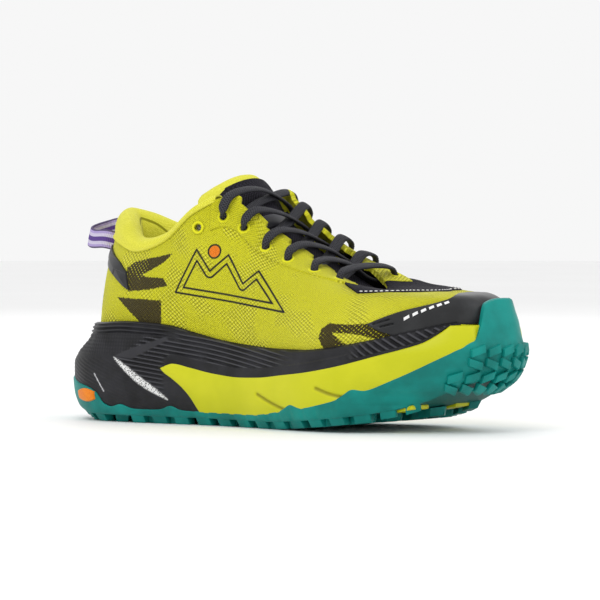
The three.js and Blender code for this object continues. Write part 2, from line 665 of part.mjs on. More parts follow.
const TONGUE_LINE = [[222, 75.5], [205, 77.5], [185, 86], [165, 96.5], [145, 109], [132, 121], [124, 131],
  [116, 139.5], [108, 147]];
const TONGUE_FOLD = 0.83;      // share of the length where the free top folds
const TONGUE_HALF = profile([[0, 13], [0.15, 17], [0.5, 21], [0.8, 22.5], [0.9, 25], [1, 24]]);
const TONGUE_DROP = profile([[0, 1.5], [0.3, 3.4], [0.6, 5.6], [0.8, 8], [1, 12]]);
const TONGUE_LEAN = profile([[0, 0], [0.5, 1.5], [0.8, 2.5], [1, 6]]);   // higher on the medial side
const FOLD_DEPTH = 5;          // the fold's axis lies this far below the tongue's face
const FOLD_ANGLE = 12;         // the free top turns this far each way
const tongueCurve = new THREE.CatmullRomCurve3(
  TONGUE_LINE.map(([x, z]) => vec(gradeX(x), 0, gradeUpper(z))), false, 'catmullrom', 0.5);
const tongueLength = tongueCurve.getLength();

// a runs from the vamp to the top, b from the lateral to the medial edge, off is below the face.
function onTongue(a, b, off) {
  const p = tongueCurve.getPointAt(clamp(a, 0, 1));
  const along = tongueCurve.getTangentAt(clamp(a, 0, 1));
  const up = vec(-along.z, 0, along.x).multiplyScalar(-1);
  const drop = TONGUE_DROP(a) * b * b - TONGUE_LEAN(a) * b + off;
  return p.addScaledVector(up, -drop).add(vec(0, gradeY(TONGUE_HALF(a)) * b, 0));
}

// A layer of the tongue; start(b, off) is where its first row lies.
function tongueLayer(start, end, rows, low, high) {
  const layer = (off, deep) => range(rows).map((u) => range(9, -1, 1).map((b) => (
    onTongue(lerp(start(b, deep), end, u), b, off(u)))));
  return sheetSolid(layer(low, low(0)), layer(high, high(0)));
}

// The free top starts clear of the lower tongue at both ends of its swing.
const swing = Math.sin(THREE.MathUtils.degToRad(FOLD_ANGLE));
const freeStart = (b, off) => {
  const arm = Math.abs(TONGUE_DROP(TONGUE_FOLD) * b * b - TONGUE_LEAN(TONGUE_FOLD) * b + off - FOLD_DEPTH);
  return TONGUE_FOLD + (3 * GAP + arm * swing) / tongueLength;
};
const level = (value) => () => value;
const fixedLayer = (low, high) => tongueLayer(level(0), TONGUE_FOLD, 15, level(low), level(high));
const FACE_LOW = TONGUE_CLOTH;
const FOAM_TOP = FACE_LOW + GAP;
const FOAM_BOTTOM = FOAM_TOP + TONGUE_FOAM;
const LINER_TOP = FOAM_BOTTOM + GAP;

// The padded rim of the free top, thicker towards its upper edge.
function tongueTopPad() {
  const pad = profile([[0, TONGUE_FOAM + TONGUE_CLOTH], [0.5, 7], [0.85, 8], [1, 4]]);
  return tongueLayer(freeStart, 1, 6, level(FOAM_TOP), (u) => FOAM_TOP + pad(u));
}

// ---- lace ----

const OVER = FILM_GAP + FILM + GAP + LACE / 2 + 0.2;   // lace centre above the upper's outside
const UNDER = CLOTH + GAP + LACE / 2 + 0.5;      // and below it
const CROSSING_LIFT = LACE / 2 + 0.3;            // one strand over the other
const TONGUE_LIFTS = [0, 5.2, 2, 1.2, 1.2, 1.2]; // the tongue stands higher towards its top

// From an eyelet on one side up to the next eyelet on the other side.
function crossing(index, side, lift) {
  const from = eyeletFrame(EYELETS[index], side);
  const to = eyeletFrame(EYELETS[index - 1], -side);
  const step = EYELETS[index - 1] - EYELETS[index];
  const leave = sideStation(EYELETS[index] + step * 0.12, side);
  const arrive = sideStation(EYELETS[index - 1] - step * 0.1, -side);
  const edgeIn = topEdge(leave).addScaledVector(upperNormal(leave, 1), -UNDER)
    .add(vec(0, -side * 2, 0));
  const edgeOut = topEdge(arrive).addScaledVector(upperNormal(arrive, 1), OVER + 0.6)
    .add(vec(0, side * 1.5, 0));
  const middle = edgeIn.clone().lerp(edgeOut, 0.5).add(vec(0, 0, lift));
  return [
    from.centre.clone().addScaledVector(from.normal, -UNDER).addScaledVector(from.inward, 2.2),
    edgeIn,
    middle,
    edgeOut,
    to.centre.clone().addScaledVector(to.normal, OVER).addScaledVector(to.inward, 2.2),
    to.centre.clone().addScaledVector(to.normal, -CLOTH / 2),
  ];
}

// One half of the lace, from the lowest eyelet up to the top one and then down inside the quarter.
function laceHalf(side) {
  const points = [];
  let at = side;
  for (let index = EYELETS.length - 1; index > 0; index -= 1) {
    points.push(...crossing(index, at, at * CROSSING_LIFT + TONGUE_LIFTS[index]));
    at = -at;
  }
  const last = eyeletFrame(EYELETS[0], at);
  const tuck = [[0.8, 6.2], [0.72, 7], [0.62, 7], [0.52, 7]].map(([t, deep]) => onUpper(
    sideStation(EYELETS[0] + 0.25, at), t, -deep));
  points.push(last.centre.clone().addScaledVector(last.normal, -UNDER - 0.6), ...tuck);
  return points;
}

function lacePath() {
  const lowest = EYELETS.length - 1;
  const [lateral, medial] = [-1, 1].map((side) => {
    const { centre, normal, inward } = eyeletFrame(EYELETS[lowest], side);
    return [
      centre.clone().addScaledVector(normal, OVER).addScaledVector(inward, 2.2),
      centre.clone().addScaledVector(normal, -CLOTH / 2),
    ];
  });
  const bar = lateral[0].clone().lerp(medial[0], 0.5).add(vec(0, 0, 3.2));
  return new THREE.CatmullRomCurve3([
    ...laceHalf(-1).reverse(), lateral[1], lateral[0], bar, medial[0], medial[1], ...laceHalf(1),
  ], false, 'centripetal');
}

const LACE_STEPS = 170;
const LACE_SIDES = 6;
const circle = (radius, sides) => new THREE.Shape(Array.from({ length: sides }, (_, i) => {
  const angle = i / sides * Math.PI * 2;
  return new THREE.Vector2(radius * Math.cos(angle), radius * Math.sin(angle));
}));

function tubeAlong(path, radius, sides, steps) {
  return new THREE.ExtrudeGeometry(circle(radius, sides), { steps, extrudePath: path, bevelEnabled: false });
}

const laceCurve = lacePath();

function aglet(end) {
  const tip = laceCurve.getPointAt(end);
  const away = laceCurve.getTangentAt(end).multiplyScalar(end ? 1 : -1);
  const path = new THREE.LineCurve3(
    tip.clone().addScaledVector(away, GAP), tip.clone().addScaledVector(away, GAP + AGLET_LENGTH));
  return tubeAlong(path, LACE / 2 + 0.1, 10, 1);
}

// The strap on the tongue that keeps the lace centred.
function laceKeeper() {
  const [from, to, half] = [0.69, 0.745, 0.5];
  const places = range(3, from, to).map((a) => range(7, -half, half).map((b) => [a, b]));
  return patch(places, onTongue, -GAP - 0.9, -GAP);
}

// ---- pull loop ----

// From its lower, lateral end round to its upper, medial end; the ends stand on the heel.
const LOOP_BOW = [[3, -11.5, 107.5], [-3, -7.5, 109], [-5.5, 0, 111], [-3, 7.5, 113], [3, 11.5, 114.5]];
const LOOP_ENDS = [[0.62, 0.93], [-0.62, 0.985]];
const LOOP_WIDTH_AXIS = vec(0.26, 0, 0.97).normalize();
const LOOP_ROUND = WEBBING[0] / 2;   // the ends are round, so that they turn in place

function loopPath() {
  const stand = GAP / 2;
  const [first, last] = LOOP_ENDS.map(([k, t]) => [
    onUpper(k, t, stand), onUpper(k, t, stand + LOOP_ROUND)]);
  const bow = LOOP_BOW.map(([x, y, z]) => vec(gradeX(x), gradeY(y), gradeUpper(z)));
  return new THREE.CatmullRomCurve3([...first, ...bow, last[1], last[0]], false, 'centripetal');
}

function pullLoop() {
  const path = loopPath();
  const length = path.getLength();
  const tips = [0.04, 0.3, 0.65, 1].map((share) => share * LOOP_ROUND / length);
  const middle = range(16, tips[3], 1 - tips[3]).slice(1, -1);
  const places = [...tips, ...middle, ...tips.map((u) => 1 - u).reverse()];
  const halfWidth = (u) => {
    const left = Math.min(u, 1 - u) * length;
    return left < LOOP_ROUND ? Math.sqrt(LOOP_ROUND ** 2 - (LOOP_ROUND - left) ** 2) : LOOP_ROUND;
  };
  const layer = (off) => places.map((u) => {
    const across = path.getTangentAt(u).cross(LOOP_WIDTH_AXIS).normalize();
    return [-1, 0, 1].map((w) => path.getPointAt(u)
      .addScaledVector(LOOP_WIDTH_AXIS, w * halfWidth(u)).addScaledVector(across, off));
  });
  return sheetSolid(layer(WEBBING[1] / 2), layer(-WEBBING[1] / 2));
}

// ---- the assembly ----

const look = {
  rubber: { color: 0x12a7a0, roughness: 0.6 },
  orange: { color: 0xf28a1e, roughness: 0.5 },
  yellowFoam: { color: 0xd5dc22, roughness: 0.45 },
  blackFoam: { color: 0x26262a, roughness: 0.6 },
  weave: { color: 0xd3de1f, roughness: 0.85 },
  lining: { color: 0xcfdc2c, roughness: 0.9 },
  film: { color: 0x1d1d20, roughness: 0.35 },
  mesh: { color: 0x222226, roughness: 0.85 },
  board: { color: 0xe6e2d6, roughness: 0.9 },
  foam: { color: 0xe9e7da, roughness: 0.9 },
  webbing: { color: 0xb9a8d8, roughness: 0.7 },
};

const shoe = new THREE.Group();

function add(name, geometry, finish) {
  const mesh = new THREE.Mesh(geometry, new THREE.MeshStandardMaterial({ ...finish, metalness: 0 }));
  mesh.name = name;
  shoe.add(mesh);
}

add('outsole', outsole(), look.rubber);
add('heel_badge', heelBadge(), look.orange);
add('midsole_lower', midsoleLower(), look.yellowFoam);
add('midsole_upper', midsoleUpper(), look.blackFoam);
add('strobel_board', bedPlate(STROBEL_LOW, STROBEL_LOW + STROBEL, clothWall), look.board);
add('sockliner', bedPlate(SOCKLINER_LOW, SOCKLINER_LOW + SOCKLINER, sockWall, 0, SOCKLINER_CUP), look.foam);
add('sockliner_cover', bedPlate(
  COVER_LOW, COVER_LOW + COVER_CLOTH, sockWall, SOCKLINER_CUP, SOCKLINER_CUP), look.lining);
add('woven_upper', wovenUpper(), look.weave);
add('toe_cap', toeCap(), look.film);
add('toe_puff', toePuff(), look.board);
add('heel_counter', heelCounter(), look.board);
add('vamp_panel', vampPanel(), look.mesh);
add('collar_foam', collarFoam(), look.foam);
add('collar_lining', collarLining(), look.lining);
for (const [name, side] of [['lateral', -1], ['medial', 1]]) {
  add(`heel_overlay_${name}`, heelOverlay(side), look.film);
  add(`eyestay_${name}`, eyestay(side), look.weave);
  add(`tongue_gusset_${name}`, gusset(side), look.mesh);
}
add('tongue_face', fixedLayer(0, FACE_LOW), look.mesh);
add('tongue_foam', fixedLayer(FOAM_TOP, FOAM_BOTTOM), look.foam);
add('tongue_lining', fixedLayer(LINER_TOP, LINER_TOP + TONGUE_CLOTH), look.lining);
add('tongue_top_face', tongueLayer(freeStart, 1, 5, level(0), level(FACE_LOW)), look.mesh);
add('tongue_top_pad', tongueTopPad(), look.lining);
add('lace_keeper', laceKeeper(), look.film);
add('lace', tubeAlong(laceCurve, LACE / 2, LACE_SIDES, LACE_STEPS), look.mesh);
add('aglet_lateral', aglet(0), look.film);
add('aglet_medial', aglet(1), look.film);
add('pull_loop', pullLoop(), look.webbing);

// The origin is on the ground, in the middle of the shoe's length and width.
const bounds = new THREE.Box3().setFromObject(shoe);
shoe.position.set(-(bounds.min.x + bounds.max.x) / 2, -(bounds.min.y + bounds.max.y) / 2, -bounds.min.z);

export default shoe;
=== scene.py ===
# The looks of a trail running shoe for the right foot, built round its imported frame.
# The surfaces repeat the CAD source's patterns, in its millimetres, at the fineness that looks need.
# Each section makes one part of the shoe, and to_frame() puts its points into the frame's metres.

import math

import bmesh
import bpy
import numpy as np
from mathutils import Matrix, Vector


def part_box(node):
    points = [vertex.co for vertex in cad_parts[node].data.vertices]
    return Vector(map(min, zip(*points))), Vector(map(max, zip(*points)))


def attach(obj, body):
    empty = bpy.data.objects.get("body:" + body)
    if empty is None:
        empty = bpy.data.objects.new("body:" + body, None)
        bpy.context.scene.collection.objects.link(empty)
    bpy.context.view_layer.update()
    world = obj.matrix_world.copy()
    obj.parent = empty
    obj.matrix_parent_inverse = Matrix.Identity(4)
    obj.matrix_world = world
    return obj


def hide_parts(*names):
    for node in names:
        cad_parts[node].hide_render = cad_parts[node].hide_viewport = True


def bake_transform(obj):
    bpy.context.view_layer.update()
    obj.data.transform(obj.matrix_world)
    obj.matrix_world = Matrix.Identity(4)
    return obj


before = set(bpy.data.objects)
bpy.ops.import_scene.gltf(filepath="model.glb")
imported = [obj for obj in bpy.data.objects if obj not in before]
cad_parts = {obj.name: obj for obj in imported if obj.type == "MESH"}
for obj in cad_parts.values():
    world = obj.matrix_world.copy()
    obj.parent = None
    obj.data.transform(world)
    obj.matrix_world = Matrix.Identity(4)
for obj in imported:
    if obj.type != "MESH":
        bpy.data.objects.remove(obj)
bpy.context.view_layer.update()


# ---- patterns: 26 stations round the shoe, in the CAD source's pattern frame ----

# Millimetres: x from the heel, y to the medial side, z up.
# sole outline x, y | wall inset | lower handle out, up | top edge x, y, z | upper handle out, up
STATIONS = np.array([
    [-6, 0, 17.5, 4, 22, 17, 0, 112, 5.5, -22],
    [3, -28, 16, 4, 22, 24, -15, 109.5, 5.5, -22],
    [25, -45, 13.5, 4, 20, 38, -27, 105.5, 6, -20],
    [55, -48, 11, 4, 18, 58, -35, 101, 5, -20],
    [85, -45.5, 9.5, 4, 20, 82, -38, 107.5, 3, -22],
    [112, -43.5, 8.5, 5, 22, 104, -37, 124.5, 3, -28],
    [140, -45.5, 8, 7, 24, 123, -27, 131, 9, -26],
    [170, -51, 8, 7, 24, 145, -20.5, 113, 16, -14],
    [200, -56.5, 8, 6, 22, 165, -19.5, 102, 20, -9],
    [230, -55, 8, 6, 20, 183, -18.5, 92.5, 24, -4],
    [257, -45, 8.5, 5, 19, 197, -16, 85, 34, 0],
    [280, -30, 9, 4, 20, 206, -11, 81, 52, 0.5],
    [295, -11, 9.5, 3, 21, 210, -5, 79.5, 68, 0],
    [300, 8, 10, 3, 22, 211, 1, 79, 72, 0],
    [294, 22, 9.5, 3, 21, 210, 6, 79.5, 68, 0],
    [284, 33, 9, 4, 20, 206, 12, 81.5, 54, 0.5],
    [262, 44.5, 8.5, 5, 19, 197, 17, 86.5, 34, 0],
    [235, 53.5, 8, 6, 20, 183, 19.5, 95.5, 24, -4],
    [208, 55, 8, 6, 22, 165, 20.5, 106, 20, -9],
    [178, 49, 8, 7, 24, 145, 21.5, 117.5, 16, -15],
    [150, 41.5, 8, 7, 24, 123, 27, 133, 9, -26],
    [120, 37.5, 8.5, 5, 22, 104, 35, 126.5, 3, -28],
    [90, 39.5, 9.5, 4, 20, 82, 36, 110.5, 3, -22],
    [62, 44, 11, 4, 18, 58, 33.5, 103, 5, -20],
    [28, 44, 13.5, 4, 20, 38, 26.5, 105.5, 6, -20],
    [4, 27, 16, 4, 22, 24, 15, 109.5, 5.5, -22],
])
COUNT = len(STATIONS)
TOE = COUNT / 2

# Heights along the shoe, [x, z].
GROUND_LINE = [[-6, 7], [4, 4], [12, 2], [20, 0.7], [30, 0], [160, 0], [180, 1], [200, 2.6],
               [222, 4.7], [250, 8.7], [267, 13], [280, 18.5], [290, 24], [300, 29]]
RUBBER_LINE = [[-6, 27], [2, 26], [15, 23], [30, 20], [36, 17], [41, 11], [47, 9], [70, 8.4],
               [150, 8.4], [182, 12], [197, 14], [216, 18], [227, 21], [239, 25], [255, 32],
               [263, 36], [277, 44], [284, 48.5], [290, 53], [296, 57], [300, 59]]
FOAM_LINE = [[84, 33], [93, 36], [105, 34], [123, 31], [143, 29.5], [160, 30], [179, 32],
             [197, 34], [220, 38], [240, 43], [258, 48], [268, 51.5], [275, 56], [281, 61]]
FOAM_TAIL_LINE = [[84, 33], [87, 30], [92, 27], [99, 22], [105, 16], [110, 8]]
RIM_LINE = [[-6, 57], [33, 58], [53, 59], [76, 58], [87, 57], [104, 53], [121, 49.5],
            [142, 47], [171, 45.5], [190, 45.5], [209, 47], [226, 49.5], [240, 52], [253, 55],
            [266, 58], [275, 60], [288, 62.5], [300, 64]]
BED_LINE = [[0, 44], [60, 44], [90, 43], [120, 41], [150, 39.5], [190, 39], [215, 41],
            [240, 46], [255, 50], [265, 53], [275, 55.5], [288, 58]]

# How far the side wall stands in from the widest outline, [height, inset].
HEEL_WALL = [[0, 13], [3, 8], [9, 3.2], [17, 0.6], [26, 0], [34, 0], [40, 3], [44, 7],
             [50, 13], [58, 15]]
SIDE_WALL = [[0, 7], [0.1, 4], [0.2, 2], [0.35, 0.5], [0.5, 0], [0.7, 0.8], [0.85, 2.4], [1, 5]]
TOE_WALL = [[16, 27], [21, 20], [25, 12], [30, 6], [37, 2.3], [46, 0], [57, 2.3], [62, 3.2],
            [69, 5.4], [77, 7.4]]


# ---- small mathematics ----

def profile(points):
    """A smooth curve through [x, y] points that never overshoots them."""
    xs, ys = np.array(points, float).T
    span = np.diff(xs)
    slope = np.diff(ys) / span
    tangent = np.empty(len(xs))
    tangent[0], tangent[-1] = slope[0], slope[-1]
    a, b = slope[:-1], slope[1:]
    total = np.where(np.abs(a + b) < 1e-12, 1.0, a + b)
    tangent[1:-1] = np.where(a * b <= 0, 0.0, 2 * a * b / total)

    def value(x):
        x = np.clip(np.asarray(x, float), xs[0], xs[-1])
        i = np.clip(np.searchsorted(xs, x, side="right") - 1, 0, len(span) - 1)
        u = (x - xs[i]) / span[i]
        u2, u3 = u * u, u * u * u
        return (ys[i] * (2 * u3 - 3 * u2 + 1) + ys[i + 1] * (3 * u2 - 2 * u3)
                + span[i] * (tangent[i] * (u3 - 2 * u2 + u) + tangent[i + 1] * (u3 - u2)))
    return value


def hermite(start, end, leave, arrive, u):
    """The cubic from start to end that leaves and arrives with the slopes given."""
    return (start + leave * u + (3 * (end - start) - 2 * leave - arrive) * u ** 2
            + (2 * (start - end) + leave + arrive) * u ** 3)


def ring(points):
    """A closed curve through one point per station; k counts stations and may be fractional."""
    points = np.array(points, float)

    def value(k):
        k = np.mod(np.asarray(k, float), COUNT)
        i = np.floor(k).astype(int) % COUNT
        w = (k - np.floor(k))[..., None]
        p0, p1 = points[i - 1], points[i]
        p2, p3 = points[(i + 1) % COUNT], points[(i + 2) % COUNT]
        return hermite(p1, p2, (p2 - p0) / 2, (p3 - p1) / 2, w)
    return value


def curve(points, steps, power):
    """A Catmull-Rom curve through points, steps to a stretch. Power 0.5 is centripetal, 0 is uniform."""
    points = np.asarray(points, float)
    padded = [2 * points[0] - points[1], *points, 2 * points[-1] - points[-2]]
    u = np.linspace(0, 1, steps, endpoint=False)[:, None]
    fine = []
    for p0, p1, p2, p3 in zip(padded, padded[1:], padded[2:], padded[3:]):
        pairs = ((p0, p1), (p1, p2), (p2, p3))
        d0, d1, d2 = (max(np.linalg.norm(b - a) ** power, 1e-4) for a, b in pairs)
        leave = ((p1 - p0) / d0 - (p2 - p0) / (d0 + d1) + (p2 - p1) / d1) * d1
        arrive = ((p2 - p1) / d1 - (p3 - p1) / (d1 + d2) + (p3 - p2) / d2) * d1
        fine.append(hermite(p1, p2, leave, arrive, u))
    return np.concatenate([*fine, points[-1:]])


def at_lengths(at, length, line):
    """Points of a line at running lengths."""
    return np.stack([np.interp(at, length, line[:, i]) for i in range(3)], axis=-1)


def evenly(points, count):
    """Points spread evenly along a centripetal curve through points, as the CAD's curves are."""
    fine = curve(points, 24, 0.5)
    length = arc(fine, 0)
    return at_lengths(np.linspace(0, length[-1], count), length, fine)


def arc(points, axis):
    """Running length along one axis of a grid of points, in millimetres."""
    step = np.linalg.norm(np.diff(points, axis=axis), axis=-1)
    pad = [(0, 0)] * step.ndim
    pad[axis] = (1, 0)
    return np.cumsum(np.pad(step, pad), axis=axis)


def lerp(a, b, u):
    return a + (b - a) * u


def smooth(low, high, x):
    """0 below low, 1 above high, and smooth between them."""
    u = np.clip((np.asarray(x, float) - low) / (high - low), 0, 1)
    return u * u * (3 - 2 * u)


def unit(v):
    return v / np.maximum(np.linalg.norm(v, axis=-1, keepdims=True), 1e-9)


def vec(*parts):
    """Points, or places in a plane, from their numbers along each axis."""
    return np.stack(np.broadcast_arrays(*parts), axis=-1).astype(float)


def signed_power(value, power):
    return np.sign(value) * np.abs(value) ** power


def down(low, high, count):
    """Evenly spaced numbers down the rows of a grid."""
    return np.linspace(low, high, count)[:, None]


def over(low, high, count):
    """Evenly spaced numbers across the columns of a grid."""
    return np.linspace(low, high, count)[None, :]


def full_turn(count):
    return np.linspace(0, 2 * math.pi, count, endpoint=False)


ground_z, rubber_z, foam_z, foam_tail_z, rim_z, bed_z = map(
    profile, (GROUND_LINE, RUBBER_LINE, FOAM_LINE, FOAM_TAIL_LINE, RIM_LINE, BED_LINE))
heel_wall, side_wall, toe_wall = map(profile, (HEEL_WALL, SIDE_WALL, TOE_WALL))


# ---- the sole's outer surface ----

outline = ring([[s[0], s[1], 0] for s in STATIONS])


def outward(k):
    k = np.asarray(k, float)
    step = unit(outline(k + 0.05) - outline(k - 0.05))
    return vec(step[..., 1], -step[..., 0], 0)


def wall_inset(k, z):
    x = outline(k)[..., 0]
    nx = outward(k)[..., 0]
    share = np.clip((z - ground_z(x)) / (rim_z(x) - ground_z(x)), 0, 1)
    heel = np.clip(-nx, 0, 1) * (x < 100)
    toe = np.clip((nx - 0.1) / 0.7, 0, 1) * (x > 200)
    return heel * heel_wall(z) + toe * toe_wall(z) + (1 - heel - toe) * side_wall(share)


def sole_point(k, z, inset=0.0):
    """A point on the sole's outside at height z, moved in by inset."""
    k, z = np.broadcast_arrays(np.asarray(k, float), np.asarray(z, float))
    p = outline(k) - outward(k) * np.asarray(wall_inset(k, z) + inset)[..., None]
    p[..., 2] = z
    return p


# ---- the upper's outer surface: a Bezier curve at each station, from the bed to the top edge ----

FEATHER_INSET = 2
FEATHER_LIFT = 0.5
top_edge = ring(STATIONS[:, 5:8])
handles = ring(STATIONS[:, [3, 4, 8, 9]])
wall_stand = ring(STATIONS[:, [2, 2, 2]])


def feather_point(k):
    p = outline(k) - outward(k) * (wall_stand(k)[..., :1] + FEATHER_INSET)
    p[..., 2] = bed_z(p[..., 0]) + FEATHER_LIFT
    return p


def upper_point(k, t):
    k, t = np.broadcast_arrays(np.asarray(k, float), np.clip(np.asarray(t, float), 0, 1))
    n, foot, top, h = outward(k), feather_point(k), top_edge(k), handles(k)
    low = foot + n * h[..., 0:1] + vec(0, 0, h[..., 1])
    high = top + n * h[..., 2:3] + vec(0, 0, h[..., 3])
    t = t[..., None]
    s = 1 - t
    return foot * s ** 3 + 3 * low * s * s * t + 3 * high * s * t * t + top * t ** 3


def upper_normal(k, t):
    k, t = np.broadcast_arrays(np.asarray(k, float), np.asarray(t, float))
    e = 0.02
    along = upper_point(k + e, t) - upper_point(k - e, t)
    up = upper_point(k, np.minimum(t + e, 1)) - upper_point(k, np.maximum(t - e, 0))
    return unit(np.cross(along, up))


def on_upper(k, t, off=0.0):
    return upper_point(k, t) + upper_normal(k, t) * np.asarray(off, float)[..., None]


def share_where(below, low, high):
    """The share at which below(share) turns false, found by halving."""
    for _ in range(22):
        middle = (low + high) / 2
        under = below(middle)
        low, high = np.where(under, middle, low), np.where(under, high, middle)
    return low


def height_share(k, z):
    """Where the upper's curve at k passes height z."""
    k = np.asarray(k, float)
    return share_where(lambda t: upper_point(k, t)[..., 2] < z, np.zeros_like(k), np.full_like(k, 0.9))


def rim_share(k):
    return height_share(k, rim_z(outline(k)[..., 0]))


def below_top(k, mm):
    """The share that lies mm below the top edge."""
    k = np.asarray(k, float)
    top = upper_point(k, 1)

    def under(t):
        return np.linalg.norm(upper_point(k, t) - top, axis=-1) > mm
    return share_where(under, np.full_like(k, 0.3), np.ones_like(k))


# ---- from the patterns' millimetres to the frame's metres ----

LUG_HEIGHT = 4.3
RUBBER = 2.7
TAB_TOP = 76
TAB_REACH = 1.15


def cad_rubber_wall():
    """The points of the CAD outsole's outer wall, which place the patterns in the frame."""
    k = np.arange(52) / 2
    x = outline(k)[:, 0]
    top = np.where(np.abs(k - TOE) <= TAB_REACH, TAB_TOP, rubber_z(x))
    tread = ground_z(x) + LUG_HEIGHT
    return np.concatenate([sole_point(k, lerp(tread, top, share)) for share in (0, 0.35, 0.7, 1)])


ORIGIN = np.array(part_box("outsole")[0]) * 1000 - cad_rubber_wall().min(axis=0)
ORIGIN[2] = 0


def to_frame(points):
    return (np.asarray(points, float) + ORIGIN) / 1000


# ---- meshes ----

SHARP = 40                     # degrees at an edge beyond which it isn't shaded smooth


def new_object(name, data):
    made = bpy.data.objects.new(name, data)
    bpy.context.scene.collection.objects.link(made)
    return made


def new_mesh(name, points, faces, values):
    """A smooth-shaded mesh from points in millimetres; values are numbers kept on its points."""
    mesh = bpy.data.meshes.new(name)
    mesh.from_pydata(to_frame(points).tolist(), [], faces)
    mesh.polygons.foreach_set("use_smooth", [True] * len(mesh.polygons))
    for key, value in (values or {}).items():
        value = np.asarray(value, np.float32).reshape(len(points), -1)
        kind, field = ("FLOAT", "value") if value.shape[1] == 1 else ("FLOAT_VECTOR", "vector")
        mesh.attributes.new(key, kind, "POINT").data.foreach_set(field, value.ravel())
    return mesh


def mesh_object(name, points, faces, values=None):
    """An object of four-cornered faces, turned outward all together, with its sharp edges marked."""
    corner = points[faces].swapaxes(0, 1)
    twice = np.cross(corner[1], corner[2]) + np.cross(corner[2], corner[3])
    if (corner[0] * twice).sum() < 0:
        faces = faces[:, ::-1]
    mesh = new_mesh(name, points, faces.tolist(), values)
    mesh.set_sharp_from_angle(angle=math.radians(SHARP))
    return new_object(name, mesh)


def solid(name, points, faces, values=None, merge=None, sharp=None):
    """An object whose faces are each turned outward; points nearer than merge metres become one."""
    mesh = new_mesh(name, points, faces, values)
    work = bmesh.new()
    work.from_mesh(mesh)
    if merge:
        bmesh.ops.remove_doubles(work, verts=work.verts, dist=merge)
    bmesh.ops.recalc_face_normals(work, faces=work.faces)
    work.to_mesh(mesh)
    work.free()
    if sharp:
        mesh.set_sharp_from_angle(angle=math.radians(sharp))
    return new_object(name, mesh)


def grid_faces(rows, cols, wrap=False, first=0):
    at = first + np.arange(rows * cols).reshape(rows, cols)
    if wrap:
        at = np.concatenate([at, at[:, :1]], axis=1)
    return np.stack([at[:-1, :-1], at[:-1, 1:], at[1:, 1:], at[1:, :-1]], axis=-1).reshape(-1, 4)


def strip_faces(a, b):
    """Faces between two rows of point numbers."""
    return np.stack([a[:-1], b[:-1], b[1:], a[1:]], axis=-1)


def sheet(outer, inner, wrap=False, holes=None):
    """Points and faces of a closed sheet between two grids. Where holes is true, both sides are open."""
    rows, cols = outer.shape[:2]
    half = rows * cols
    front = grid_faces(rows, cols, wrap)
    back = grid_faces(rows, cols, wrap, half)[:, ::-1]
    if holes is not None:
        keep = ~holes.ravel()[front].all(axis=1)
        front, back = front[keep], back[keep]
    at = np.arange(half).reshape(rows, cols)
    if wrap:
        at = np.concatenate([at, at[:, :1]], axis=1)
    faces = [front, back, strip_faces(at[0], at[0] + half), strip_faces(at[-1] + half, at[-1])]
    if not wrap:
        faces += [strip_faces(at[:, 0] + half, at[:, 0]), strip_faces(at[:, -1], at[:, -1] + half)]
    return np.concatenate([outer.reshape(-1, 3), inner.reshape(-1, 3)]), np.concatenate(faces)


def shell(name, outer, inner, values=None, outside_only=(), **form):
    """A sheet as an object. The values in outside_only are far below zero on its inner side."""
    points, faces = sheet(outer, inner, **form)
    both = {}
    for key, value in (values or {}).items():
        value = np.asarray(value, float).reshape(len(points) // 2, -1)
        both[key] = np.concatenate([value, np.full_like(value, -9) if key in outside_only else value])
    return mesh_object(name, points, faces, both)


def closed_tube(name, rings, cloth, **steady):
    """A tube through rings of points, closed by a fan at each end; steady values hold all over it."""
    rows, cols = rings.shape[:2]
    heel, toe = rows * cols, rows * cols + 1
    last = (rows - 1) * cols
    points = np.concatenate([rings.reshape(-1, 3), [rings[0].mean(axis=0), rings[-1].mean(axis=0)]])
    after = np.roll(np.arange(cols), -1).tolist()
    faces = grid_faces(rows, cols, wrap=True).tolist()
    faces += [[heel, j, i] for i, j in enumerate(after)]
    faces += [[toe, last + i, last + j] for i, j in enumerate(after)]
    values = {"cloth": np.concatenate([cloth.reshape(-1, 3), np.zeros((2, 3))])}
    for key, value in steady.items():
        values[key] = np.full(len(points), value)
    return solid(name, points, faces, values)


class Parts:
    """Points and faces of several shapes, gathered into one."""

    def __init__(self):
        self.points, self.faces, self.count = [], [], 0

    def add(self, points, faces):
        points = np.reshape(points, (-1, 3))
        self.points.append(points)
        self.faces += [[i + self.count for i in face] for face in faces]
        self.count += len(points)

    def joined(self):
        return np.concatenate(self.points), self.faces


def distance_to_line(p, points, closed=False):
    """Distance of each point of p to a line through points, all in two numbers."""
    points = np.array(points, float)
    ends = np.roll(points, -1, axis=0) if closed else points[1:]
    best = np.full(p.shape[:-1], 1e9)
    for a, b in zip(points, ends):
        ab = b - a
        u = np.clip(((p - a) @ ab) / (ab @ ab), 0, 1)
        best = np.minimum(best, np.linalg.norm(p - a - u[..., None] * ab, axis=-1))
    return best


def inside_by(p, polygon):
    """Signed distance to a polygon's edge, positive inside."""
    polygon = np.array(polygon, float)
    odd = np.zeros(p.shape[:-1], bool)
    for a, b in zip(polygon, np.roll(polygon, -1, axis=0)):
        if a[1] == b[1]:
            continue
        spans = (a[1] > p[..., 1]) != (b[1] > p[..., 1])
        cross = a[0] + (p[..., 1] - a[1]) / (b[1] - a[1]) * (b[0] - a[0])
        odd ^= spans & (p[..., 0] < cross)
    return np.where(odd, 1, -1) * distance_to_line(p, polygon, closed=True)


def rounded(distance, radius):
    """How far a surface falls back at this distance from a rounded edge."""
    d = np.clip(distance, 0, radius)
    return radius - np.sqrt(np.maximum(radius ** 2 - (radius - d) ** 2, 0))


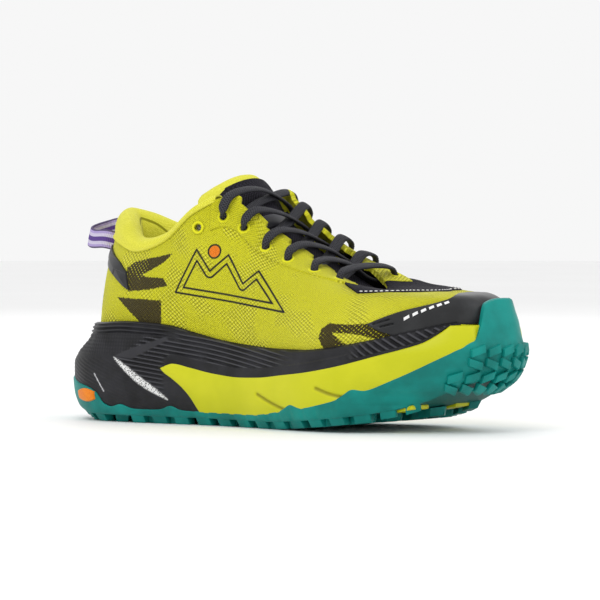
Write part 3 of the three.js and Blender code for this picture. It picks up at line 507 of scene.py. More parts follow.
def waves(p, scale, seed):
    """Smooth, repeatable unevenness between about -1 and 1."""
    rng = np.random.default_rng(seed)
    total = 0
    for _ in range(6):
        way = rng.normal(size=3)
        way *= rng.uniform(0.6, 1.4) * 2 * math.pi / scale / np.linalg.norm(way)
        total = total + np.sin(p @ way + rng.uniform(0, 2 * math.pi))
    return total / 3.5


# ---- materials ----

class Paint:
    """A material under construction: a principled shader and short ways to wire nodes to it."""

    def __init__(self, name, roughness=0.6, **settings):
        self.material = bpy.data.materials.new(name)
        self.material.use_nodes = True
        self.tree = self.material.node_tree
        self.shader = self.tree.nodes["Principled BSDF"]
        self.shader.inputs["Roughness"].default_value = roughness
        self.shader.inputs["Specular IOR Level"].default_value = 0.22
        for key, value in settings.items():
            self.shader.inputs[key.replace("_", " ")].default_value = value
        coordinates = self.tree.nodes.new("ShaderNodeTexCoord")
        self.place = coordinates.outputs["Object"]

    def put(self, socket, value):
        if isinstance(value, bpy.types.NodeSocket):
            self.tree.links.new(value, socket)
        elif value is not None:
            socket.default_value = value

    def set(self, name, value):
        self.put(self.shader.inputs[name], value)

    def node(self, kind, **values):
        """A new node; each value goes into the input of that name."""
        node = self.tree.nodes.new("ShaderNode" + kind)
        for key, value in values.items():
            self.put(node.inputs[key.replace("_", " ")], value)
        return node

    def math(self, operation, a, b=None):
        node = self.tree.nodes.new("ShaderNodeMath")
        node.operation = operation
        self.put(node.inputs[0], a)
        self.put(node.inputs[1], b)
        return node.outputs[0]

    def times(self, a, b):
        return self.math("MULTIPLY", a, b)

    def plus(self, a, b):
        return self.math("ADD", a, b)

    def number(self, name):
        """A number kept on the piece's points."""
        node = self.node("Attribute")
        node.attribute_name = name
        return node.outputs["Fac"]

    def cloth(self):
        """The running lengths along and up the cloth in millimetres: together, then each alone."""
        node = self.node("Attribute")
        node.attribute_name = "cloth"
        parts = self.node("SeparateXYZ", Vector=node.outputs["Vector"])
        return node.outputs["Vector"], parts.outputs["X"], parts.outputs["Y"]

    def noise(self, scale, detail=3.0, where=None, roughness=0.5):
        node = self.node("TexNoise", Vector=where or self.place, Scale=scale, Detail=detail,
                         Roughness=roughness)
        return node.outputs["Fac"]

    def cells(self, scale):
        return self.node("TexVoronoi", Vector=self.place, Scale=scale).outputs["Distance"]

    def sine(self, value, pitch, shift=None):
        """A wave of that pitch along value, from -1 to 1."""
        angle = self.times(value, 2 * math.pi / pitch)
        return self.math("SINE", angle if shift is None else self.plus(angle, shift))

    def step(self, value, low, high):
        """0 below low and 1 above high."""
        node = self.node("MapRange", Value=value, From_Min=low, From_Max=high)
        node.interpolation_type = "SMOOTHSTEP"
        return node.outputs["Result"]

    def mix(self, share, a, b):
        node = self.tree.nodes.new("ShaderNodeMix")
        node.data_type = "RGBA"
        for index, value in ((0, share), (6, a), (7, b)):
            self.put(node.inputs[index], value)
        return node.outputs[2]

    def relief(self, height, depth):
        """Bumps the surface by that many millimetres."""
        bump = self.node("Bump", Height=height, Distance=depth / 1000)
        self.set("Normal", bump.outputs["Normal"])

    def gloss(self, level, swing, base):
        """Roughness that goes up from base with level."""
        self.set("Roughness", self.plus(self.times(level, swing), base))


def colour(red, green, blue):
    """An sRGB colour, 0 to 255, as the shader's linear one."""
    def linear(c):
        c = c / 255
        return c / 12.92 if c <= 0.04045 else ((c + 0.055) / 1.055) ** 2.4
    return (linear(red), linear(green), linear(blue), 1)


YELLOW = colour(212, 210, 18)
YELLOW_DEEP = colour(158, 154, 6)
YELLOW_LIGHT = colour(240, 236, 84)
YARN_DARK = colour(52, 44, 6)
YARN_BROWN = colour(96, 86, 16)
BLACK = colour(20, 20, 22)
ORANGE = colour(242, 128, 26)


def weave_paint(name, printed=False):
    """Fine two-way weave with pebbly patches; printed adds the dark yarn, the emblem and its accent."""
    paint = Paint(name, 0.72, Sheen_Weight=0.06, Sheen_Roughness=0.5)
    where, along, up = paint.cloth()
    wobble = paint.times(paint.noise(0.22, 2, where), 3.2)
    fine = paint.times(paint.sine(along, 1.5, wobble), paint.sine(up, 1.3))
    pebble = paint.times(paint.sine(along, 3.1, wobble), paint.sine(up, 2.5, wobble))
    patches = paint.step(paint.noise(0.035, 2, where), 0.46, 0.58)
    weave = paint.plus(paint.times(fine, 0.45), paint.times(pebble, paint.times(patches, 0.9)))
    fleck = paint.noise(1.1, 3, where, 0.7)
    level = paint.plus(paint.times(weave, 0.6), fleck)
    shade = paint.step(level, 0.1, 0.62)
    base = paint.mix(shade, YELLOW_DEEP, YELLOW)
    base = paint.mix(paint.step(level, 0.62, 1.0), base, YELLOW_LIGHT)
    tone = paint.mix(paint.step(paint.noise(9, 3), 0.35, 0.7), base, paint.mix(0.25, base, YELLOW_LIGHT))
    if printed:
        ragged = paint.times(paint.math("SUBTRACT", paint.noise(0.9, 2, where), 0.5), 2.4)
        dark = paint.step(paint.plus(paint.number("dark"), ragged), -0.25, 0.25)
        yarn = paint.mix(paint.step(level, 0.5, 0.8), YARN_DARK, YARN_BROWN)
        yarn = paint.mix(paint.step(level, 0.86, 1.0), yarn, YELLOW)
        tone = paint.mix(dark, tone, yarn)
        tone = paint.mix(paint.step(paint.number("outline"), -0.3, 0.3), tone, BLACK)
        tone = paint.mix(paint.step(paint.number("accent"), -0.3, 0.3), tone, ORANGE)
    paint.set("Base Color", tone)
    paint.relief(level, 0.8)
    return paint.material


def lining_paint():
    """Soft brushed knit."""
    paint = Paint("lining_knit", 0.85, Sheen_Weight=0.1, Sheen_Roughness=0.45)
    where, along, up = paint.cloth()
    knit = paint.times(paint.sine(along, 1.2), paint.sine(up, 1.0))
    fuzz = paint.noise(0.9, 4, where, 0.7)
    level = paint.plus(paint.times(knit, 0.25), fuzz)
    tone = paint.mix(paint.step(level, 0.2, 0.9), colour(200, 197, 34), colour(240, 236, 92))
    seam = paint.step(paint.number("seam"), -0.35, 0.35)
    paint.set("Base Color", paint.mix(seam, tone, colour(140, 138, 18)))
    paint.relief(level, 0.3)
    return paint.material


def mesh_paint():
    """Black open mesh: small cells with a raised net between them."""
    paint = Paint("open_mesh", 0.8)
    where, along, up = paint.cloth()
    net = paint.times(paint.sine(along, 2.1), paint.sine(up, 1.8))
    level = paint.plus(paint.times(net, 0.5), paint.noise(1.4, 3, where, 0.7))
    paint.set("Base Color", paint.mix(paint.step(level, 0.35, 1.0), colour(10, 9, 14), colour(54, 51, 66)))
    paint.relief(level, 0.5)
    return paint.material


def film_paint(name, base, rough=0.42):
    """Satin film over cloth, with faint grain and rubbed patches."""
    paint = Paint(name, rough, Coat_Weight=0.3, Coat_Roughness=0.3)
    grain = paint.noise(900, 3)
    rub = paint.noise(60, 4)
    light = tuple(min(1, c * 2.2 + 0.01) for c in base[:3]) + (1,)
    tone = paint.mix(paint.step(rub, 0.4, 0.75), base, light)
    paint.set("Base Color", paint.mix(paint.times(grain, 0.3), tone, base))
    paint.gloss(rub, 0.25, rough - 0.12)
    paint.relief(grain, 0.06)
    return paint.material


def rubber_paint():
    """Matte moulded rubber, with painted shade on the tread's floor between the lugs."""
    paint = Paint("teal_rubber", 0.5)
    mottle = paint.noise(45, 4)
    grain = paint.noise(1400, 3)
    tone = paint.mix(paint.step(mottle, 0.3, 0.7), colour(2, 108, 101), colour(6, 136, 128))
    # Painted shade: the tread's floor between the lugs, and the hidden top, are darker.
    paint.set("Base Color", paint.mix(paint.step(paint.number("tread_floor_shade"), 0.2, 0.9), tone, colour(1, 84, 77)))
    paint.gloss(grain, 0.2, 0.4)
    paint.relief(grain, 0.08)
    return paint.material


def yellow_foam_paint():
    """Smooth moulded foam with fine pores, faint flow marks and painted shade in its grooves."""
    paint = Paint("yellow_foam", 0.42, Coat_Weight=0.1, Coat_Roughness=0.4)
    flow = paint.noise(28, 3)
    pores = paint.noise(1600, 3)
    tone = paint.mix(paint.step(flow, 0.35, 0.7), colour(186, 188, 12), colour(198, 198, 24))
    # Painted shade: darker where the grooves are.
    groove_shade = paint.step(paint.number("groove"), 0.1, 0.9)
    paint.set("Base Color", paint.mix(groove_shade, tone, colour(150, 146, 16)))
    paint.gloss(pores, 0.2, 0.32)
    paint.relief(pores, 0.05)
    return paint.material


def black_foam_paint():
    """Ribbed moulded foam with a painted highlight on the crests of its ribs and facets, and a pale speckled
    streak.
    """
    paint = Paint("black_foam", 0.5)
    pores = paint.noise(1500, 3)
    mottle = paint.noise(70, 4)
    tone = paint.mix(paint.step(mottle, 0.3, 0.7), colour(22, 22, 24), colour(38, 38, 42))
    # Painted highlight: the crests of the ribs, beads, lattice, rope and wedge are lighter.
    tone = paint.mix(paint.step(paint.number("crest_highlight"), 0.2, 1.0), tone, colour(66, 66, 71))
    speckle = paint.times(paint.number("streak"), paint.step(paint.cells(1100), 0.25, 0.5))
    tone = paint.mix(speckle, tone, colour(222, 222, 222))
    paint.set("Base Color", paint.mix(paint.number("line"), tone, colour(200, 200, 204)))
    paint.gloss(pores, 0.25, 0.36)
    paint.relief(pores, 0.08)
    return paint.material


def lace_paint():
    """Braided cord: crossing yarns, with the light ones catching the light."""
    paint = Paint("lace_braid", 0.62)
    where, along, around = paint.cloth()
    one = paint.sine(paint.plus(along, around), 1.5)
    two = paint.sine(paint.math("SUBTRACT", along, around), 1.5)
    braid = paint.math("MAXIMUM", one, two)
    tone = paint.mix(paint.step(braid, -0.2, 1.0), colour(8, 8, 10), colour(66, 66, 72))
    grain = paint.noise(2.4, 2, where)
    paint.set("Base Color", paint.mix(paint.times(grain, 0.35), tone, colour(58, 58, 64)))
    paint.relief(braid, 0.3)
    return paint.material


def webbing_paint():
    """Ribbed flat webbing: pale, with a dark stripe in the middle and thin dark edges."""
    paint = Paint("pull_webbing", 0.7)
    _, along, across = paint.cloth()
    from_middle = paint.math("ABSOLUTE", across)
    ribs = paint.sine(along, 1.1)
    yarns = paint.sine(across, 0.8)
    tone = colour(98, 70, 150)
    for low, high, beyond in ((1.3, 1.5, (222, 214, 238)), (3.3, 3.5, (190, 172, 226)),
                              (4.7, 5.0, (92, 80, 118))):
        tone = paint.mix(paint.step(from_middle, low, high), tone, colour(*beyond))
    level = paint.plus(paint.times(ribs, 0.6), paint.times(yarns, 0.4))
    dark = paint.mix(0.25, tone, colour(90, 80, 110))
    paint.set("Base Color", paint.mix(paint.step(level, -0.8, 0.4), dark, tone))
    paint.relief(level, 0.25)
    return paint.material


def plain_paint(name, dark, light, scale=400, roughness=0.85, depth=0.2):
    """A quiet fibrous or cellular surface between two tones."""
    paint = Paint(name, roughness)
    grain = paint.noise(scale, 4, None, 0.7)
    spots = paint.noise(scale / 14, 3)
    level = paint.plus(paint.times(spots, 0.4), paint.times(grain, 0.6))
    paint.set("Base Color", paint.mix(paint.step(level, 0.3, 0.7), dark, light))
    paint.relief(grain, depth)
    return paint.material


def finish(piece, material, slot, body, *nodes, rides=True):
    """Dresses a piece, hides the CAD parts it stands for, and puts it on its body; slot is not used."""
    piece.data.materials.clear()
    piece.data.materials.append(material)
    if nodes:
        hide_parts(*nodes)
    if rides:
        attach(piece, body)
    return piece


weave_printed = weave_paint("woven_yellow", printed=True)
weave_plain = weave_paint("woven_tape")
lining_knit = lining_paint()
open_mesh = mesh_paint()
black_film = film_paint("black_film", colour(24, 25, 27))
gloss_film = film_paint("keeper_film", colour(40, 40, 45), 0.3)
print_white = plain_paint("white_print", colour(214, 214, 214), colour(240, 240, 240), 900, 0.5, 0.03)
teal_rubber = rubber_paint()
yellow_foam = yellow_foam_paint()
black_foam = black_foam_paint()
lace_braid = lace_paint()
pull_webbing = webbing_paint()
badge_rubber = plain_paint("badge_rubber", colour(214, 104, 10), colour(236, 138, 24), 900, 0.4, 0.05)


# ---- the sole: rubber, black cradle and yellow foam share one wall ----

SHELL = 2.2                    # thickness of the walls that are drawn
BUMPS = [(54, 2.2), (90, 2.6), (187, 3.0), (230, 3.4)]


def rubber_edge(k):
    """The rubber's upper edge, with its small humps and the tab that climbs the toe."""
    x = outline(k)[..., 0]
    edge = rubber_z(x) + sum(high * np.exp(-((x - at) / 5.5) ** 2) for at, high in BUMPS)
    reach = np.abs(k - TOE)
    tab = np.maximum(TAB_TOP - 5 * (reach / TAB_REACH) ** 4, edge)
    return lerp(edge, tab, smooth(1.42, 1.0, reach))


def foam_edge(k):
    x = outline(k)[..., 0]
    return np.minimum(foam_z(x), rim_z(x))


def over_rim(k, outer_top, share):
    """The ledge between the wall's top and the cloth, share 0 to 1 across it."""
    cloth = on_upper(k, rim_share(k), -0.7)
    p = lerp(outer_top, cloth, share)
    p[..., 2] += 0.7 * math.sin(math.pi * min(share * 1.3, 1))
    return p


def cap(loop, columns):
    """Points and faces that close a loop which runs up one side of the shoe and back the other."""
    n = len(loop)
    near = loop[1:n // 2]
    far = loop[:n // 2:-1]
    u = np.linspace(0, 1, columns)[None, :, None]
    grid = near[:, None] * (1 - u) + far[:, None] * u
    rows = len(grid)
    points = np.concatenate([grid.reshape(-1, 3), loop[[0, n // 2]]])
    faces = grid_faces(rows, columns).tolist()
    heel, toe = rows * columns, rows * columns + 1
    last = (rows - 1) * columns
    faces += [[heel, j + 1, j] for j in range(columns - 1)]
    faces += [[toe, last + j, last + j + 1] for j in range(columns - 1)]
    return points, faces


BLOCK_FACES = [(0, 1, 2, 3), (7, 6, 5, 4), (0, 4, 5, 1), (1, 5, 6, 2), (2, 6, 7, 3), (3, 7, 4, 0)]


class Blocks:
    """Moulded blocks, each given by the four corners of its face and of its root."""

    def __init__(self):
        self.work = bmesh.new()

    def add(self, face, root):
        corners = [self.work.verts.new(Vector(p)) for p in to_frame(np.array([*face, *root]))]
        for numbers in BLOCK_FACES:
            self.work.faces.new([corners[i] for i in numbers])

    def points_and_faces(self, radius):
        bmesh.ops.recalc_face_normals(self.work, faces=self.work.faces)
        bmesh.ops.bevel(self.work, geom=self.work.edges, offset=radius / 1000, segments=2, profile=0.6,
                        affect="EDGES", clamp_overlap=True)
        self.work.verts.index_update()
        points = np.array([v.co for v in self.work.verts]) * 1000 - ORIGIN
        faces = [[v.index for v in f.verts] for f in self.work.faces]
        self.work.free()
        return points, faces


def tread_z(x):
    return ground_z(x) + LUG_HEIGHT


LUG_SIZE = (13, 15)
LUG_PITCH = 20
LUG_MARGIN = 12.5
LUG_ROWS = 12
LUG_START = 26
EDGE_LUG = (9.5, 6.5)          # length and depth
EDGE_PITCH = 15.5
EDGE_BARE = (38, 50, 262)      # no edge lugs between the first two, at the heel, or past the third
WINDOWS = [(126, 0, 40, 22), (247, -22, 16, 16), (247, 20, 16, 16)]
coarse = np.arange(52) / 2
coarse_tread = sole_point(coarse, tread_z(outline(coarse)[:, 0]))


def lug_places():
    """Lug centres, as the CAD places them, and which way each points."""
    for row in range(LUG_ROWS):
        x = LUG_START + row * LUG_PITCH
        ends = []
        for sign in (-1, 1):
            side = coarse_tread[np.sign(coarse_tread[:, 1] - 2) == sign]
            ends.append(side[np.argmin(np.abs(side[:, 0] - x)), 1] - sign * LUG_MARGIN)
        across = max(2, int((ends[1] - ends[0]) // LUG_PITCH) + 1)
        for y in np.linspace(ends[0], ends[1], across):
            if not any(abs(x - cx) < (long + LUG_SIZE[0]) / 2 and abs(y - cy) < (wide + LUG_SIZE[1]) / 2
                       for cx, cy, long, wide in WINDOWS):
                yield x, y, -1 if row < (LUG_ROWS - 1) / 2 else 1


def ground_lugs(blocks):
    """Chevrons under the foot, each of two arms."""
    long, wide = LUG_SIZE[0] / 2, LUG_SIZE[1] / 2
    arm = np.array([[long, 0.25], [long * 0.35, wide], [-long, wide * 0.9], [-long * 0.45, 0.25]])
    for x, y, way in lug_places():
        for side in (-1, 1):
            plan = arm * [way, side]
            middle = plan.mean(axis=0)
            face = plan * 0.94 + middle * 0.06 + [x, y]
            root = plan * 1.16 - middle * 0.16 + [x, y]
            blocks.add(vec(*face.T, ground_z(face[:, 0])), vec(*root.T, tread_z(root[:, 0]) + 0.6))


def edge_lugs(blocks):
    """Blocks along the tread's edge, flush with the side wall."""
    fine = np.linspace(0, COUNT, 2000)
    length = arc(outline(fine), 0)
    long, deep = EDGE_LUG
    for i in range(int(length[-1] / EDGE_PITCH)):
        start = i * EDGE_PITCH
        a, b = np.interp([start, start + long], length, fine)
        x = outline((a + b) / 2)[0]
        if EDGE_BARE[0] < x < EDGE_BARE[1] or x > EDGE_BARE[2]:
            continue
        ks = np.array([a, b, b, a])
        inset = np.array([0.2, 0.2, deep, deep])
        low = ground_z(outline(ks)[:, 0])
        face = sole_point(ks, low + 0.1, inset)
        root = sole_point(ks, low + LUG_HEIGHT + 1.5, inset + [-0.4, -0.4, 1, 1])
        blocks.add(face, root)


def toe_lugs(blocks):
    """Staggered, slanting blocks on the front of the toe."""
    half, high, tilt = 0.16, 2.6, 1.6
    for row, z in enumerate((25, 32, 39.5, 47)):
        odd = row % 2
        reach = 1.9 - 0.25 * row
        slant = tilt if odd else -tilt
        for k in np.arange(-reach - 0.2 * odd, reach + 0.05, 0.42):
            if abs(k) > 2:
                continue
            aside = np.array([-half, half, half, -half])
            up = np.array([-high - slant, -high + slant, high + slant, high - slant]) / 1.2
            blocks.add(sole_point(TOE + k + aside, z + up, -3.6),
                       sole_point(TOE + k + aside * 1.25, z + up * 1.2, 0.8))


def outsole():
    k = np.arange(832) / 32
    x = outline(k)[:, 0]
    low, high = tread_z(x), rubber_edge(k)
    share = down(0, 1, 64)
    z = lerp(low, high, share)
    proud = 0.9 - rounded((high - z), 0.9)
    proud = proud - 0.9 * rounded((z - low), 2.0) / 2.0
    toe = smooth(2.2, 1.2, np.abs(k - TOE)) * smooth(20, 28, z) * smooth(58, 50, z)
    relief = waves(sole_point(k, z), 9, 5) * 0.35 * toe
    side = 0.35 * np.sin(x / 3.2) ** 8 * smooth(16, 10, z) * smooth(60, 70, x)
    wall = sole_point(k, z, -(proud + relief - side))
    inner_z = np.maximum(z[::-4], low + RUBBER + share[::-4])
    inside = sole_point(k, inner_z, RUBBER)
    loops = np.concatenate([wall, inside])
    rows, cols = loops.shape[:2]
    parts = Parts()
    parts.add(loops, grid_faces(rows, cols, wrap=True).tolist())
    for loop in (loops[0], loops[-1]):
        parts.add(*cap(loop, 30))
    # The caps are the tread's floor between the lugs and the hidden top; they get painted shade.
    tread_floor_shade = np.arange(parts.count) >= rows * cols
    blocks = Blocks()
    for add_lugs in (ground_lugs, edge_lugs, toe_lugs):
        add_lugs(blocks)
    parts.add(*blocks.points_and_faces(0.7))
    points, faces = parts.joined()
    tread_floor_shade = np.concatenate([tread_floor_shade, np.zeros(len(points) - len(tread_floor_shade))])
    made = solid("outsole_rubber", points, faces, {"tread_floor_shade": tread_floor_shade}, merge=2e-6, sharp=35)
    return finish(made, teal_rubber, "rubber_teal", "shoe", "outsole")


def foam_windows():
    """The foam that shows through the tread's windows."""
    blocks = Blocks()
    for x, y, long, wide in WINDOWS:
        xs = x + np.array([-long, long, long, -long]) / 2
        ys = y + np.array([-wide, -wide, wide, wide]) / 2
        face = vec(xs, ys, tread_z(xs) - 0.35)
        blocks.add(face, face + [0, 0, 2.5])
    points, faces = blocks.points_and_faces(0.8)
    made = solid("foam_windows", points, faces, {"groove": np.zeros(len(points))})
    return finish(made, yellow_foam, "foam_yellow", "shoe")


BADGE_PLACE = (2.05, 15.5)     # station and height of its middle
BADGE_HALF = (0.3, 4)          # half its length in stations, half its height in mm


def heel_badge():
    """A plain lozenge, crowned and with a rounded edge."""
    a, b = down(-1, 1, 41), over(-1, 1, 25)
    k = BADGE_PLACE[0] + a * BADGE_HALF[0] + 0 * b
    z = BADGE_PLACE[1] + b * (1 - 0.45 * a * a) * BADGE_HALF[1]
    edge = np.minimum((1 - np.abs(a)) * 8, (1 - np.abs(b)) * 4)
    off = 2.1 - rounded(edge, 1.1) + 0.3 * (1 - a * a) * (1 - b * b)
    made = shell("heel_badge_plain", sole_point(k, z, -off), sole_point(k, z, 0.4))
    return finish(made, badge_rubber, "badge_orange", "shoe", "heel_badge")


STREAK = [(50, 38.5), (70, 24.9), (89, 14.5)]
SHORT_LINE = [(35, 28.3), (42, 18.2)]
WEDGE = [(50, 39), (64, 37.5), (88, 49), (87, 51.5), (64, 44.5)]


def cradle_relief(x, z, rim, foam):
    """Ribs, facets and beads of the black foam; also how far each point is a crest, which gets a painted
    highlight.
    """
    side = vec(x, z)
    past_streak = smooth(1, 4, (z - 38.5) + 0.615 * (x - 50) + 1.5)
    wedge = smooth(-0.6, 0.8, inside_by(side, WEDGE))
    lip = smooth(5.6, 4.4, z - foam) * smooth(84, 90, x) * smooth(250, 235, x)
    bead = smooth(7.0, 5.6, rim - z) * smooth(105, 80, x)
    ribs = np.cos((z + 0.13 * x + 2 * smooth(110, 190, x)) * 2 * math.pi / 2.5)
    rib_zone = past_streak * (1 - wedge) * (1 - lip) * (1 - bead) * smooth(193, 165, x)
    rib_zone = rib_zone * np.where(z < 40, 1, smooth(66, 76, x + 1.2 * (50 - z)))
    rows = np.cos((rim - z) * 2 * math.pi / 2.3)
    lattice_zone = (1 - past_streak * (z < 40)) * (1 - wedge) * (1 - bead)
    lattice_zone = lattice_zone * smooth(38, 42, z) * smooth(84, 74, x)
    lattice = np.cos((x + z) * 1.5) * np.cos((x - z) * 1.5)
    faint_zone = (1 - past_streak) * smooth(39, 36, z)
    faint = np.cos((x * 0.35 + z) * 2 * math.pi / 2.2)
    rope_zone = smooth(222, 238, x) * smooth(0.8, 2, z - foam)
    rope = np.cos((x * 0.95 + (z - rim) * 1.1) * 2 * math.pi / 4.2)
    height = np.clip((z - foam) / np.maximum(rim - foam, 1), 0, 1)
    swell = 0.6 * smooth(195, 225, x) * np.sin(height * math.pi)
    relief = (0.5 * ribs * rib_zone + 0.55 * rows * bead + 0.3 * lattice * lattice_zone
              + 0.12 * faint * faint_zone + 0.9 * rope * rope_zone + 0.5 * wedge + 0.5 * lip + swell)
    crest_highlight = np.clip(ribs * rib_zone + rows * bead * 0.6 + lattice * lattice_zone * 0.6
                    + rope * rope_zone * 1.1, 0, 1) + 0.55 * wedge
    return relief, crest_highlight


def cradle():
    """The black upper layer of the midsole, open where the yellow reaches the rim at the toe."""
    k = np.linspace(-11.3, 11.3, 900)
    x = outline(k)[:, 0]
    rim, foam = rim_z(x), foam_edge(k)
    low = lerp(rubber_edge(k) - 1, foam - 1.4, smooth(109, 118, x))
    low = lerp(low, rim - 0.6, smooth(10.6, 11.25, np.abs(k)))
    low = np.minimum(low, rim - 0.6)
    share = down(0, 1, 116)
    z = lerp(low, rim, share)
    relief, crest_highlight = cradle_relief(x, z, rim, np.where(x > 84, foam, -10))
    fade = smooth(0, 2.5, np.abs(rim - foam) + (x < 240) * 5)
    off = relief * fade - rounded(z - low, 1.2) - rounded(rim - z, 1.1)
    wall = sole_point(k, z, -off)
    ledge = np.stack([over_rim(k, wall[-1], part) for part in (0.25, 0.5, 0.75, 1)])
    outer = np.concatenate([wall, ledge])
    inner = np.concatenate([sole_point(k, z, SHELL), ledge - [0, 0, SHELL]])
    inner[115] = lerp(inner[114], inner[116], 0.5)
    place = vec(x, z)
    streak = distance_to_line(place, STREAK)
    lens = 2.1 * np.sin(np.clip((x - 49) / 41, 0, 1) * math.pi) ** 0.8
    rest = np.zeros((4, len(k)))
    values = {
        "crest_highlight": np.concatenate([crest_highlight, rest]),
        "streak": np.concatenate([smooth(0.3, -0.3, streak - lens), rest]),
        "line": np.concatenate([smooth(0.45, 0.2, distance_to_line(place, SHORT_LINE)), rest]),
    }
    made = shell("midsole_cradle", outer, inner, values=values)
    return finish(made, black_foam, "foam_black", "shoe", "midsole_upper")


GROOVES = [[(160, 20), (171, 15.5), (182, 11.8)], [(208, 25.2), (216, 22.6), (225, 20.6)]]


def yellow_layer():
    """The lower layer: a tail at the back, then under the cradle and up to the rim at the toe."""
    k = np.linspace(3.93, 22.28, 760)
    x = outline(k)[:, 0]
    rim, high = rim_z(x), foam_edge(k)
    tail = np.where(x < 110, foam_tail_z(x), -10)
    low = np.minimum(np.maximum(rubber_edge(k) - 0.8, tail), high - 0.15)
    share = down(0, 1, 84)
    z = lerp(low, high, share)
    place = vec(x, z)
    groove = np.max([np.exp(-(distance_to_line(place, line) / 1.1) ** 2) for line in GROOVES], axis=0)
    swell = 0.5 * np.sin(share * math.pi)
    off = 0.75 + swell - 1.3 * groove - rounded(high - z, 1.2)
    off = off - np.where(low > tail, 0, rounded(z - low, 1.2))
    open_toe = smooth(rim - 2.0, rim - 0.3, high)
    under_tab = smooth(1.45, 1.25, np.abs(k - TOE))
    wall = sole_point(k, z, -(off * (1 - under_tab)) + 1.2 * under_tab)
    tucked = sole_point(k, high + 0.2, 1.5)
    ledge = [over_rim(k, wall[-1], part) for part in (0.3, 0.65, 1)]
    ledge = lerp(tucked, np.stack(ledge), open_toe[:, None])
    outer = np.concatenate([wall, ledge])
    inner = np.concatenate([sole_point(k, z, SHELL + 1.2), ledge - [0, 0, SHELL]])
    # groove also darkens the foam's colour there, as painted shade in the grooves.
    groove = np.concatenate([groove, np.zeros((3, len(k)))])
    made = shell("midsole_yellow", outer, inner, values={"groove": groove})
    return finish(made, yellow_foam, "foam_yellow", "shoe", "midsole_lower")


# ---- the upper ----

CLOTH = 1.8
EYELETS = [5.85, 6.45, 7.15, 7.95, 8.85, 9.8]
SPARE_EYELET = 5.1
EYELET_SETBACK = 11
EYELET_HOLE = 2.3


def side_station(k, side):
    return k if side < 0 else COUNT - k


def eyelet(k, side):
    """Centre, outward normal and the way to the throat's edge."""
    at = np.array(side_station(k, side), float)
    t = below_top(at, EYELET_SETBACK)
    centre, normal = upper_point(at, t), upper_normal(at, t)
    return centre, normal, unit(top_edge(at) - centre)


ALL_EYELETS = [eyelet(k, side) for k in (*EYELETS, SPARE_EYELET) for side in (-1, 1)]


def near_eyelet(points):
    """Distance of points from the nearest eyelet's axis."""
    best = np.full(points.shape[:-1], 1e9)
    for centre, normal, _ in ALL_EYELETS:
        offset = points - centre
        along = offset @ normal
        flat = np.linalg.norm(offset - along[..., None] * normal, axis=-1)
        best = np.minimum(best, np.where(np.abs(along) < 6, flat, 1e9))
    return best


FLAME = [(50, 91), (58, 94.5), (69, 96.5), (88, 99.5), (81, 94), (72, 90), (64, 86.8), (70, 85.6),
         (81, 85.2), (84, 80.5), (68, 78), (53, 77)]
TRIANGLE = [(43, 73.5), (79, 72), (78, 50), (63, 58.5)]
LOOP_OUTSIDE = [(236, 62), (224, 61), (210, 61.5), (205, 58.5), (203, 53), (206, 48), (212, 40),
                (262, 40), (256, 62)]
LOOP_EYE = [(212, 56.5), (229, 55.4), (247, 51.8), (240, 47), (231, 46.6), (219, 51.2)]
RIDGE = [(90, 77), (106, 102), (115, 89.5), (127, 99), (140, 82.5), (150, 90), (175, 67)]
RIDGE_BAND = 3.6
RIDGE_LINE = 0.6
ACCENT = (117.5, 101, 3.3)


def printed_values(points):
    """How far each point lies inside the dark yarn, the emblem's outline and its accent."""
    side = np.stack([points[..., 0], points[..., 2]], axis=-1)
    loop = np.minimum(inside_by(side, LOOP_OUTSIDE), -inside_by(side, LOOP_EYE))
    dark = np.max([inside_by(side, FLAME), inside_by(side, TRIANGLE), loop], axis=0)
    lateral = points[..., 1] < 0
    inside = inside_by(side, RIDGE)
    outline_ = RIDGE_LINE - np.minimum(np.abs(inside), np.abs(inside - RIDGE_BAND))
    from_accent = np.linalg.norm(side - ACCENT[:2], axis=-1)
    accent = ACCENT[2] - from_accent
    ring_ = RIDGE_LINE - np.abs(from_accent - ACCENT[2] - 0.5)
    outline_ = np.where(lateral, np.maximum(outline_, ring_), -9)
    return dark, outline_, np.where(lateral, accent, -9)


def cloth_lengths(points):
    """Running lengths along and up a grid whose rows climb."""
    return vec(arc(points, 1), arc(points, 0), 0)


def woven_upper():
    k = np.arange(1040) / 40
    rim = rim_share(k)
    share = down(0, 1, 120)
    t = lerp(rim * 0.55, 1, share)
    base = upper_point(k, t)
    soft = 0.35 * waves(base, 34, 11) * smooth(0, 0.12, share) * smooth(1, 0.85, share)
    off = soft + 0.25 * smooth(0.1, 0.0, t - rim)
    outer = on_upper(k, t, off)
    inner = on_upper(k, t, off - CLOTH)
    dark, outline_, accent = printed_values(outer)
    values = {"cloth": cloth_lengths(outer), "dark": dark, "outline": outline_, "accent": accent}
    holes = near_eyelet(outer) < EYELET_HOLE
    made = shell("upper_weave", outer, inner, wrap=True, values=values, holes=holes,
                 outside_only=("dark", "outline", "accent"))
    return finish(made, weave_printed, "weave_yellow", "shoe", "woven_upper")


PATCH_ROOT = 0.4               # how deep films and tapes go into the cloth


def patch(name, k, t, thick, size, edge=0.6, relief=0.0):
    """A film or tape on the upper over a grid of places; size is its rough width along each axis."""
    u, v = down(0, 1, k.shape[0]), over(0, 1, k.shape[1])
    from_edge = np.minimum(np.minimum(u, 1 - u) * size[0], np.minimum(v, 1 - v) * size[1])
    outer = on_upper(k, t, thick - rounded(from_edge, edge) * thick / edge + relief)
    inner = on_upper(k, t, np.full(k.shape, -PATCH_ROOT))
    return shell(name, outer, inner, values={"cloth": cloth_lengths(outer)})


CAP_EDGE = profile([[0, 0.62], [0.4, 0.59], [1.27, 0.43], [2, 0.36], [2.7, 0.325], [3.1, 0.3],
                    [3.54, 0.26]])
CAP_BACK = profile([[0, 3.0], [0.15, 3.15], [0.55, 3.4], [1, 3.56]])


